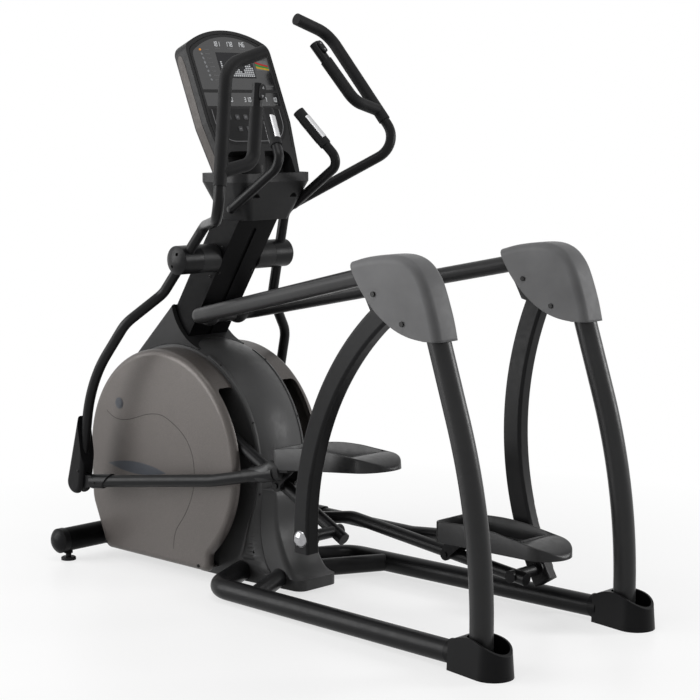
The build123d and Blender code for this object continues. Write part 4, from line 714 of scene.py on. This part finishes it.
def cover_badges(side, name):
    """Plain round stud and plain lens-shaped plate on a side cover."""
    tree = surface(f"{name}_side_cover")
    centre, normal = side_drop(tree, side, STUD_AT)
    mesh = bmesh.new()
    for share, lift in STUD_LEVELS:
        ring = [centre + side_way(a) * (share * STUD_R) for a in turns(STUD_STEPS)]
        add_slab(mesh, ring if side == RIGHT else ring[::-1], normal, lift)
    mesh_piece(f"{name}_cover_stud", mesh, "badge")
    mesh = bmesh.new()
    plate = [side_drop(tree, side, spot)[0] for spot in lens_spots()]
    add_slab(mesh, plate if side == LEFT else plate[::-1], normal, LENS_THICK)
    mesh_piece(f"{name}_cover_plate", mesh, "badge")


def cover_screws(side, name):
    """Screws at the foot of a side cover."""
    tree = surface(f"{name}_side_cover")
    places = [side_drop(tree, side, spot) for spot in COVER_SCREWS]
    screws(f"{name}_cover_screws", places, COVER_SCREW_R)


# Middle cover

def spine_rays():
    """Starts and directions, in side view, that run down the rear edge of the middle cover."""
    hub = Vector((0, *HOUSING_C)) * MM
    rays = []
    for i in range(SPINE_ARC_STEPS + 1):
        out = side_way(radians(SPINE_ARC_START + SPINE_ARC_SWEEP * i / SPINE_ARC_STEPS))
        rays.append((hub + out * RAY_START, -out))
    for i in range(1, SPINE_RUN_STEPS + 1):
        start = Vector((0, SPINE_RUN_FROM, SPINE_RUN_TOP - SPINE_RUN_PITCH * i)) * MM
        rays.append((start, Vector((0, 1, 0))))
    return rays


def spine_flange(side, name):
    """Raised lip along the edge of the middle cover, with its screws."""
    tree = surface("spine_cover")
    rings, places = [], []
    for i, (start, direction) in enumerate(spine_rays()):
        ring = []
        for x, lift in FLANGE_SECTION:
            at, _ = drop(tree, start + ACROSS * (side * x * MM), direction)
            ring.append(at - direction * lift * MM)
        rings.append(ring)
        if i % FLANGE_SCREW_EVERY == FLANGE_SCREW_FIRST:
            places.append((ring[1].lerp(ring[2], 0.5), -direction))
    # The lip shares the middle cover's lightened charcoal, a painted highlight.
    skin_piece(f"{name}_spine_flange", rings, "spine_grey", smooth=True)
    screws(f"{name}_spine_screws", places, FLANGE_SCREW_R)


# Mast

def mast_screws():
    """Screws along both sides and down the rear of the mast."""
    tree = surface("mast_front_cover")
    places = [side_drop(tree, side, spot) for side in (LEFT, RIGHT) for spot in MAST_SIDE_SCREWS]
    screws("mast_side_screws", places, MAST_SIDE_SCREW_R)
    tree = surface("mast_rear_cover")
    inward = side_way(MAST_LEAN)
    places = []
    for y, z in MAST_REAR_SCREWS:
        for x in (-MAST_REAR_SCREW_X, MAST_REAR_SCREW_X):
            places.append(drop(tree, Vector((x, y, z)) * MM - inward * MAST_RAY_START, inward))
    screws("mast_rear_screws", places, MAST_REAR_SCREW_R)


# Console

def face_point(x, up, off):
    """Point on the console's face, in millimetres across, up it and out of it."""
    return FACE_FOOT + (ACROSS * x + FACE_UP * up + FACE_OUT * off) * MM


def add_patch(mesh, spots, off=MARK_LIFT, thick=MARK_THICK):
    """Adds a thin plate on the console's face from its outline."""
    add_slab(mesh, [face_point(x, up, off) for x, up in spots], FACE_OUT, thick * MM)


def add_bar(mesh, x0, x1, low, high, off=MARK_LIFT):
    """Adds a thin upright rectangle on the console's face."""
    add_patch(mesh, ((x0, low), (x1, low), (x1, high), (x0, high)), off)


def segment_spots(kind, width, height):
    """Outline of one of the seven strokes of a figure, from its lower left corner."""
    stroke = height * STROKE_WIDTH
    gap = stroke * STROKE_GAP
    if kind in "agd":
        up = {"a": height - stroke, "g": (height - stroke) / 2, "d": 0}[kind]
        return ((gap, up), (width - gap, up), (width - stroke, up + stroke), (stroke, up + stroke))
    x = width - stroke if kind in "bc" else 0
    low = height / 2 + gap if kind in "bf" else gap
    high = low + height / 2 - 2 * gap
    return ((x, low), (x + stroke, low), (x + stroke, high), (x, high))


def add_figure(mesh, text, x, up, height, pitch):
    """Adds a number in seven-stroke figures on the console's face, from its lower left corner."""
    for i, letter in enumerate(text):
        for kind in STROKES[letter]:
            spots = segment_spots(kind, height * FIGURE_WIDTH, height)
            add_patch(mesh, [(x + i * pitch + u + FIGURE_SLANT * v, up + v) for u, v in spots])


def display_figures():
    """Lit numbers in the main window and in the strip below it."""
    mesh = bmesh.new()
    for up, height, pitch, numbers in FIGURE_ROWS:
        for text, x in numbers:
            add_figure(mesh, text, x, up, height, pitch)
    mesh_piece("display_figures", mesh, "led_white")


def icon_place(i):
    """Middle of one of the icons in their column."""
    return ICON_FIRST[0] + ICON_PITCH[0] * i, ICON_FIRST[1] + ICON_PITCH[1] * i


def display_labels():
    """Plain bars where the printed words stand."""
    mesh = bmesh.new()
    for starts, length, low, high in LABEL_ROWS:
        for x in starts:
            add_bar(mesh, x, x + length, low, high)
    length, height = ICON_LABEL_SIZE
    for i in range(ICON_COUNT):
        x, up = icon_place(i)
        x, up = x + ICON_LABEL_AT[0], up + ICON_LABEL_AT[1]
        add_bar(mesh, x, x + length, up, up + height)
    mesh_piece("display_labels", mesh, "print_grey")


def display_icons():
    """Column of small wavy icons, the uppermost lit orange."""
    for look, rows in (("led_orange", range(1)), ("led_dim", range(1, ICON_COUNT))):
        mesh = bmesh.new()
        for i in rows:
            x, up = icon_place(i)
            spots = []
            for a in turns(ICON_STEPS):
                wave = 1 + ICON_WAVE * cos(i + 2 * a)
                spots.append((x + ICON_R * cos(a), up + ICON_R * sin(a) * wave))
            add_patch(mesh, spots)
        mesh_piece(f"display_icons_{look}", mesh, look)


def display_profile():
    """Dot panel with a hill profile."""
    panel = bmesh.new()
    add_bar(panel, *PANEL_X, *PANEL_UP, PANEL_LIFT)
    mesh_piece("display_panel", panel, "panel_grey")
    wide, high = DOT_SIZE
    mesh = bmesh.new()
    for column in range(DOT_COLUMNS):
        swing = HILL_SWING + HILL_SWING * sin(HILL_PITCH * column + HILL_START)
        for row in range(HILL_FOOT + round(swing)):
            x, up = DOT_FIRST[0] + DOT_PITCH[0] * column, DOT_FIRST[1] + DOT_PITCH[1] * row
            add_bar(mesh, x, x + wide, up, up + high, ON_PANEL_LIFT)
    mesh_piece("display_dots", mesh, "led_white")


def display_chart():
    """Zone chart: three falling bands on a grey ground."""
    ground = bmesh.new()
    add_bar(ground, *CHART_X, *CHART_UP, PANEL_LIFT)
    mesh_piece("chart_ground", ground, "chart_grey")
    x0, x1 = CHART_X
    for look, start, end in CHART_BANDS:
        upper, lower = [], []
        for i in range(CHART_STEPS + 1):
            share = i / CHART_STEPS
            x = x0 + (x1 - x0) * share
            up = CHART_UP[0] + start + (end - start) * share**CHART_BOW
            upper.append((x, up))
            lower.append((x, up - CHART_BAND_HEIGHT))
        mesh = bmesh.new()
        add_patch(mesh, lower + upper[::-1], ON_PANEL_LIFT)
        mesh_piece(look, mesh, look)


def keypad_line():
    """Pale printed line round the keypad, which glows as painted light."""
    inner, corner_up = KEYPAD_HALF - KEYPAD_CORNER, KEYPAD_LOW + KEYPAD_CORNER
    run = [(-KEYPAD_HALF, KEYPAD_TOP), (-KEYPAD_HALF, corner_up)]
    for i in range(1, KEYPAD_CORNER_STEPS):
        angle = pi + pi / 2 * i / KEYPAD_CORNER_STEPS
        run.append((KEYPAD_CORNER * cos(angle) - inner, corner_up + KEYPAD_CORNER * sin(angle)))
    run += [(-inner, KEYPAD_LOW), (inner, KEYPAD_LOW)]
    run += [(-x, up) for x, up in reversed(run[1:-2])] + [(KEYPAD_HALF, KEYPAD_TOP)]
    points = [face_point(x, up, KEYPAD_LINE_LIFT) for x, up in run]
    line_piece("keypad_line", [points], KEYPAD_LINE_R, "print_light")


def squarish(value):
    """Pushes a sine or cosine outward, which turns a circle into a rounded square."""
    return copysign(abs(value) ** KEY_SQUARENESS, value)


def keypad_keys():
    """Rounded square keys with a plain bar on each; the bars glow as painted light."""
    keys, marks = bmesh.new(), bmesh.new()
    corner_ways = [(squarish(cos(a)), squarish(sin(a))) for a in turns(KEY_STEPS)]
    wide, high = KEY_MARK_HALF
    for up, count in KEY_ROWS:
        for i in range(count):
            x = KEY_MIDDLE + KEY_PITCH * (i - (count - 1) / 2)
            spots = [(x + KEY_HALF * u, up + KEY_HALF * v) for u, v in corner_ways]
            add_patch(keys, spots, MARK_LIFT, KEY_THICK)
            add_bar(marks, x - wide, x + wide, up - high, up + high, KEY_MARK_LIFT)
    mesh_piece("keypad_keys", keys, "key_grey")
    mesh_piece("keypad_key_marks", marks, "print_light")


def console_bands(side, name):
    """Taupe skin on the side of the console."""
    rings = []
    for up, start, end in BAND_STATIONS:
        share = min(1, (up - CONSOLE_LOW) / (CONSOLE_WAIST - CONSOLE_LOW))
        half = CONSOLE_HALF_LOW + (CONSOLE_HALF_TOP - CONSOLE_HALF_LOW) * share
        front = BAND_FRONT + (BAND_BACK - BAND_FRONT) * start
        back = BAND_FRONT + (BAND_BACK - BAND_FRONT) * end
        under, over = (side * (half + lift) for lift in BAND_SKIN)
        corners = ((under, front), (under, back), (over, back), (over, front))
        rings.append([face_point(x, up, off) for x, off in corners])
    skin_piece(f"{name}_console_band", rings, "dark_taupe")


# Moving parts

def switch_marks(_, name):
    """Two arrowheads on a thumb switch, printed marks that glow as painted light."""
    joint = joint_facts(f"{name}_switch_rock")
    pivot, across = Vector(joint["pos_m"]), Vector(joint["axis"]).normalized()
    data = nodes[f"{name}_thumb_switch"].data
    out = max(data.polygons, key=lambda p: p.area).normal.copy()
    middle = sum((v.co for v in data.vertices), Vector()) / len(data.vertices)
    if out.dot(middle - pivot) < 0:
        out = -out
    along = across.cross(out).normalized()
    lift = max((v.co - pivot).dot(out) for v in data.vertices)
    spread = across * ARROW_HALF
    mesh = bmesh.new()
    for way in (-1, 1):
        tip = pivot + out * (lift - ARROW_SINK) + along * way * ARROW_TIP
        foot = tip - along * way * ARROW_LENGTH
        outline = [tip, foot + spread, foot - spread]
        facing = (outline[1] - outline[0]).cross(outline[2] - outline[0])
        add_slab(mesh, outline if facing.dot(out) > 0 else outline[::-1], out, ARROW_THICK)
    mesh_piece(f"{name}_switch_marks", mesh, "print_light", f"{name}_switch")


def pivot_dome(side, name):
    """Bright domed cap over the lower pivot of a swing arm."""
    _, y, z = joint_facts(f"{name}_tube_pivot")["pos_m"]
    crown, _ = side_drop(surface(f"{name}_swing_arm"), side, (y / MM, z / MM))
    rings = []
    for step in range(DOME_LEVELS):
        angle = pi / 2 * step / DOME_LEVELS
        spread = DOME_R * cos(angle)
        centre = crown + ACROSS * (side * (DOME_H * sin(angle) + DOME_LIFT - DOME_H))
        rings.append([centre + side_way(a) * spread for a in turns(DOME_STEPS)])
    skin_piece(f"{name}_pivot_dome", rings, "chrome", f"{name}_swing", True)


def link_screws(side, name):
    """Screws in the handle's lower knuckle and in the sleeve of the foot link."""
    at = side_drop(surface(f"{name}_arm_knuckle"), side, KNUCKLE_SCREW[side])
    screws(f"{name}_knuckle_screw", [at], KNUCKLE_SCREW_R, f"{name}_handle")
    at = side_drop(surface(f"{name}_link_tube"), side, LINK_SCREW[side])
    screws(f"{name}_link_screw", [at], LINK_SCREW_R, f"{name}_foot")


# Shoulders and uprights

def smooth_run(points):
    """Points along a smooth curve through some points in side view."""
    ends = [points[0], *points, points[-1]]
    run = []
    for a, b, c, d in zip(ends, ends[1:], ends[2:], ends[3:]):
        for i in range(CURVE_STEPS):
            t = i / CURVE_STEPS
            weights = (
                (-t + 2 * t**2 - t**3) / 2,
                (2 - 5 * t**2 + 3 * t**3) / 2,
                (t + 4 * t**2 - 3 * t**3) / 2,
                (t**3 - t**2) / 2,
            )
            run.append(sum((Vector(p) * w for p, w in zip((a, b, c, d), weights)), Vector((0, 0))))
    return run + [Vector(points[-1])]


def way_along(run, i):
    """Direction of a run of points at one of them."""
    return (run[min(i + 1, len(run) - 1)] - run[max(i - 1, 0)]).normalized()


def inward_ways(run):
    """Direction into the outline at each point of a run that has the inside on its left."""
    ways = []
    for i in range(len(run)):
        along = way_along(run, i)
        ways.append(Vector((-along.y, along.x)))
    return ways


def shoulder_outline():
    """Side outline of a cover, the way that each point moves inward, and the count of points on its top."""
    top = smooth_run(SHOULDER_TOP)
    low = smooth_run(SHOULDER_LOW)
    ways = inward_ways(top)
    for i, neighbour in ((0, low[-1]), (-1, low[0])):
        slide = (neighbour - top[i]).normalized()
        ways[i] = slide / slide.dot(ways[i])
    return top + low, ways + inward_ways(low), len(top)


def shoulder_levels():
    """From the top to a flank of a cover: reach to the side, insets of the top and of the lower edge."""
    levels = []
    for i in range(SHOULDER_ROUND_STEPS + 1):
        turn = pi / 2 * i / SHOULDER_ROUND_STEPS
        reach = SHOULDER_HALF - SHOULDER_ROUND * (1 - sin(turn))
        levels.append((reach, SHOULDER_ROUND * (1 - cos(turn)), 0))
    return levels + [(SHOULDER_HALF, SHOULDER_ROUND + SHOULDER_LIP, SHOULDER_LIP)]


def shoulder_cover(side, name):
    """Cap over the top of an upright, closed behind, with a rounded top, open below for the swing arm."""
    loop, ways, top_count = shoulder_outline()
    levels = shoulder_levels()
    mesh = bmesh.new()
    rings = []
    for hand, order in ((-1, reversed(levels)), (1, levels)):
        for reach, inset, low_inset in order:
            x = side * SHOULDER_X + hand * reach
            ring = []
            for i, (point, way) in enumerate(zip(loop, ways)):
                y, z = point + way * (inset if i < top_count else low_inset)
                ring.append(mesh.verts.new(Vector((x, y, z)) * MM))
            rings.append(ring)
    count = len(loop)
    for j, (ring, following) in enumerate(zip(rings, rings[1:])):
        on_flank = j in (0, len(rings) - 2)
        for i in range(count if on_flank else top_count - 1):
            k = (i + 1) % count
            mesh.faces.new((ring[i], ring[k], following[k], following[i]))
    mesh.faces.new(rings[0])
    mesh.faces.new(rings[-1][::-1])
    bmesh.ops.recalc_face_normals(mesh, faces=mesh.faces)
    shell_name = f"{name}_shoulder_shell"
    # The shell's colour carries painted sheen on top of its own gunmetal grey.
    piece = mesh_piece(shell_name, mesh, "gunmetal", smooth=True, crease=CREASE)
    wall = piece.modifiers.new("wall", "SOLIDIFY")
    wall.thickness = SHOULDER_WALL
    wall.offset = -1
    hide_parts(f"{name}_shoulder_cover")


def shoulder_brackets():
    """Plates inside the covers with the pin that each swing arm turns on."""
    inner, outer = BRACKET_REACH
    mesh = bmesh.new()
    for side in (LEFT, RIGHT):
        middle = side * SHOULDER_X
        for x in (inner, -outer):
            plate = [Vector((middle + x, y, z)) * MM for y, z in BRACKET_OUTLINE]
            add_slab(mesh, plate, ACROSS, (outer - inner) * MM)
        end = Vector((middle - outer, *SWING_PIN))
        pin = [(end + side_way(a) * SWING_PIN_R) * MM for a in turns(SWING_PIN_STEPS)]
        add_slab(mesh, pin, ACROSS, 2 * outer * MM)
    bmesh.ops.recalc_face_normals(mesh, faces=mesh.faces)
    piece = mesh_piece("shoulder_plates", mesh, "black_paint")
    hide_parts("shoulder_brackets")


def upright_run(side):
    """Middle line of an upright: plumb, then a wide bend, then leaning forward into its cover."""
    start = UPRIGHT_KNEE - UPRIGHT_BEND * tan(UPRIGHT_LEAN / 2)
    spots = [(UPRIGHT_Y, UPRIGHT_FOOT)]
    for i in range(UPRIGHT_BEND_STEPS + 1):
        turn = UPRIGHT_LEAN * i / UPRIGHT_BEND_STEPS
        forward = UPRIGHT_BEND * (1 - cos(turn))
        spots.append((UPRIGHT_Y + forward, start + UPRIGHT_BEND * sin(turn)))
    y, z = spots[-1]
    spots.append((y + (UPRIGHT_END - z) * tan(UPRIGHT_LEAN), UPRIGHT_END))
    return [Vector((side * SHOULDER_X, y, z)) * MM for y, z in spots]


def upright(side, name):
    """Curved upright tube."""
    run = upright_run(side)
    rings = []
    for i, point in enumerate(run):
        forward = ACROSS.cross(way_along(run, i))
        ways = [ACROSS * cos(a) + forward * sin(a) for a in turns(UPRIGHT_STEPS)]
        rings.append([point + way * UPRIGHT_R for way in ways])
    tube_name = f"{name}_upright_tube"
    piece = skin_piece(tube_name, rings, "grey_paint", smooth=True, crease=CREASE)
    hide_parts(f"{name}_upright")


# Pedals

def height_at(profile, y):
    """Height of a side-view profile at a place along it, level beyond its ends."""
    y = min(max(y, profile[0][0]), profile[-1][0])
    for (y0, z0), (y1, z1) in zip(profile, profile[1:]):
        if y <= y1:
            return z0 + (z1 - z0) * (y - y0) / (y1 - y0)


def pedal_loop(inset):
    """Plan outline of a pedal moved inward: round the heel, along a side, the front and the other side."""
    x0, x1 = PEDAL_X[0] + inset, PEDAL_X[1] - inset
    front, rear = PEDAL_Y[1] - inset, PEDAL_Y[0] + inset
    middle, half = (x0 + x1) / 2, (x1 - x0) / 2
    corner = min(max(PEDAL_CORNER - inset, PEDAL_CORNER_LEAST), half)
    heel = rear + half
    loop = []
    for i in range(PEDAL_ARC + 1):
        turn = pi + pi * i / PEDAL_ARC
        loop.append((middle + half * cos(turn), heel + half * sin(turn)))
    stretch = front - corner - heel
    loop += [(x1, heel + stretch * i / PEDAL_SIDE) for i in range(1, PEDAL_SIDE)]
    for centre, start in ((x1 - corner, 0), (x0 + corner, pi / 2)):
        for i in range(PEDAL_CORNER_STEPS + 1):
            turn = start + pi / 2 * i / PEDAL_CORNER_STEPS
            loop.append((centre + corner * cos(turn), front - corner + corner * sin(turn)))
    loop += [(x0, heel + stretch * i / PEDAL_SIDE) for i in range(PEDAL_SIDE - 1, 0, -1)]
    return loop


def foot_frame(side, name):
    """Function that turns a place in a foot link's own frame into a point of the scene."""
    _, y0, z0 = joint_facts(f"{name}_foot_pivot")["pos_m"]
    faces = nodes[f"{name}_pedal"].data.polygons
    soles = [p for p in faces if p.normal.z < SOLE_DOWN and abs(p.normal.x) < SOLE_TILT]
    up = -max(soles, key=lambda p: p.area).normal
    forward = Vector((0, up.z, -up.y))

    def place(x, y, z):
        return Vector((side * x * MM, y0, z0)) + (forward * y + up * z) * MM

    return place


def fill_tread(mesh, ring):
    """Closes the inner ring of a tread with strips between its sides and a face at each end."""
    right = ring[PEDAL_ARC:PEDAL_ARC + PEDAL_SIDE + 1]
    left = [ring[0]] + ring[:-PEDAL_SIDE - 1:-1]
    for a, b, c, d in zip(right, right[1:], left[1:], left):
        mesh.faces.new((a, b, c, d))
    mesh.faces.new(ring[:PEDAL_ARC + 1])
    mesh.faces.new(ring[PEDAL_ARC + PEDAL_SIDE:1 - PEDAL_SIDE])


def pedal(side, name):
    """Footplate: walled tray whose tread climbs to a crest and rolls down over the heel, with its ribs."""
    place = foot_frame(side, name)
    wall_top, tread = smooth_run(PEDAL_WALL_TOP), smooth_run(PEDAL_TREAD)
    mesh = bmesh.new()
    rings = [[mesh.verts.new(place(x, y, PEDAL_BASE)) for x, y in pedal_loop(0)]]
    for inset, edge_fall, wall_fall in PEDAL_RIM:
        ring = []
        for x, y in pedal_loop(inset):
            high, low = height_at(wall_top, y), height_at(tread, y)
            stand = min(1, max(0, (high - low) / PEDAL_FULL_WALL))
            ring.append(mesh.verts.new(place(x, y, high - edge_fall - wall_fall * stand)))
        rings.append(ring)
    for inset in TREAD_INSETS:
        rings.append([mesh.verts.new(place(x, y, height_at(tread, y))) for x, y in pedal_loop(inset)])
    bridge(mesh, rings)
    mesh.faces.new(rings[0][::-1])
    fill_tread(mesh, rings[-1])
    bmesh.ops.recalc_face_normals(mesh, faces=mesh.faces)
    plate_name = f"{name}_footplate"
    piece = mesh_piece(plate_name, mesh, "pedal", f"{name}_foot", True, PEDAL_CREASE)
    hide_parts(f"{name}_pedal")
    middle = sum(PEDAL_X) / 2
    runs = []
    for i in range(RIB_COUNT):
        y = RIB_FIRST + RIB_PITCH * i
        runs.append([place(middle + x, y, height_at(tread, y)) for x in RIB_SPREAD])
    line_piece(f"{name}_tread_ribs", runs, RIB_R, "pedal", f"{name}_foot")


def link_socket(side, name):
    """Flared socket that carries the link tube into the front of the pedal."""
    place = foot_frame(side, name)
    start, end = SOCKET_AXIS
    rings = []
    for share, wide, high, lift in SOCKET_SECTIONS:
        centre = start.lerp(end, share)
        ring = []
        for a in turns(SOCKET_STEPS):
            across, rise = cos(a), sin(a)
            y = centre.y + SOCKET_SLANT * share * rise
            ring.append(place(centre.x + wide * across, y, centre.z + lift + high * rise))
        rings.append(ring)
    skin_piece(f"{name}_link_socket", rings, "pedal", f"{name}_foot", True, CREASE)


# Camera, floor and light

def place_camera():
    """Camera at the photograph's viewing angle."""
    data = bpy.data.cameras.new("photo_camera")
    data.sensor_width = CAMERA_SENSOR
    data.lens = CAMERA_LENS
    data.clip_end = CAMERA_REACH
    camera = add_object("photo_camera", data)
    level = cos(CAMERA_DIP)
    forward = Vector((sin(CAMERA_YAW) * level, cos(CAMERA_YAW) * level, -sin(CAMERA_DIP)))
    camera.location = CAMERA_AT
    camera.rotation_euler = forward.to_track_quat("-Z", "Y").to_euler()
    bpy.context.scene.camera = camera


def seen_directly(tree):
    """1 for camera, mirror and glass rays, 0 for the light that falls on the object."""
    path = tree.nodes.new("ShaderNodeLightPath")
    total = path.outputs["Is Camera Ray"]
    for name in ("Is Glossy Ray", "Is Transmission Ray"):
        node = tree.nodes.new("ShaderNodeMath")
        node.operation = "MAXIMUM"
        tree.links.new(total, node.inputs[0])
        tree.links.new(path.outputs[name], node.inputs[1])
        total = node.outputs["Value"]
    return total


def floor_material():
    """Pale floor that shows the object's shadow near it and glows white further out."""
    material, tree, shader = new_material("floor_white")
    settle(shader, {"Base Color": FLOOR_COLOUR, "Roughness": FLOOR_ROUGHNESS})
    coords = tree.nodes.new("ShaderNodeTexCoord")
    reach = tree.nodes.new("ShaderNodeVectorMath")
    reach.operation = "LENGTH"
    tree.links.new(coords.outputs["Object"], reach.inputs[0])
    fade = tree.nodes.new("ShaderNodeMapRange")
    settle(fade, {"From Min": FLOOR_FADE[0], "From Max": FLOOR_FADE[1]})
    settle(fade, {"To Min": FLOOR_GLOW[0], "To Max": FLOOR_GLOW[1]})
    tree.links.new(reach.outputs["Value"], fade.inputs["Value"])
    share = tree.nodes.new("ShaderNodeMath")
    share.operation = "MULTIPLY"
    tree.links.new(seen_directly(tree), share.inputs[0])
    tree.links.new(fade.outputs["Result"], share.inputs[1])
    glow = tree.nodes.new("ShaderNodeEmission")
    blend = tree.nodes.new("ShaderNodeMixShader")
    tree.links.new(share.outputs["Value"], blend.inputs["Fac"])
    tree.links.new(shader.outputs["BSDF"], blend.inputs[1])
    tree.links.new(glow.outputs["Emission"], blend.inputs[2])
    tree.links.new(blend.outputs["Shader"], tree.nodes["Material Output"].inputs["Surface"])
    return material


def make_floor():
    """Large pale floor under the object."""
    mesh = bmesh.new()
    corners = ((-1, -1), (1, -1), (1, 1), (-1, 1))
    mesh.faces.new([mesh.verts.new((x * FLOOR_HALF, y * FLOOR_HALF, 0)) for x, y in corners])
    data = bpy.data.meshes.new("floor")
    mesh.to_mesh(data)
    mesh.free()
    data.materials.append(floor_material())
    add_object("floor", data)


def make_world():
    """White to look at, softer as a light."""
    world = bpy.data.worlds.new("studio")
    bpy.context.scene.world = world
    world.use_nodes = True
    tree = world.node_tree
    background = tree.nodes["Background"]
    settle(background, {"Color": (1, 1, 1, 1)})
    strength = tree.nodes.new("ShaderNodeMix")
    settle(strength, {"A": WORLD_FILL, "B": 1})
    tree.links.new(seen_directly(tree), strength.inputs["Factor"])
    tree.links.new(strength.outputs["Result"], background.inputs["Strength"])


def make_lights():
    """Soft rectangular lamps, each aimed at a point of the object."""
    for name, at, aim, size, watts in LAMPS:
        data = bpy.data.lights.new(name, "AREA")
        data.shape = "RECTANGLE"
        data.size, data.size_y = size
        data.energy = watts
        lamp = add_object(name, data)
        lamp.location = at
        lamp.rotation_euler = (Vector(aim) - Vector(at)).to_track_quat("-Z", "Y").to_euler()


dress_nodes()
for hand, hand_name in SIDE_NAMES.items():
    for make_pieces in (
        cover_seams, cover_badges, cover_screws, spine_flange, console_bands, switch_marks, link_screws,
        pivot_dome, shoulder_cover, upright, pedal, link_socket,
    ):
        make_pieces(hand, hand_name)
shoulder_brackets()
mast_screws()
display_figures()
display_labels()
display_icons()
display_profile()
display_chart()
keypad_line()
keypad_keys()
place_camera()
make_floor()
make_world()
make_lights()
bpy.context.scene.view_settings.view_transform = "Standard"
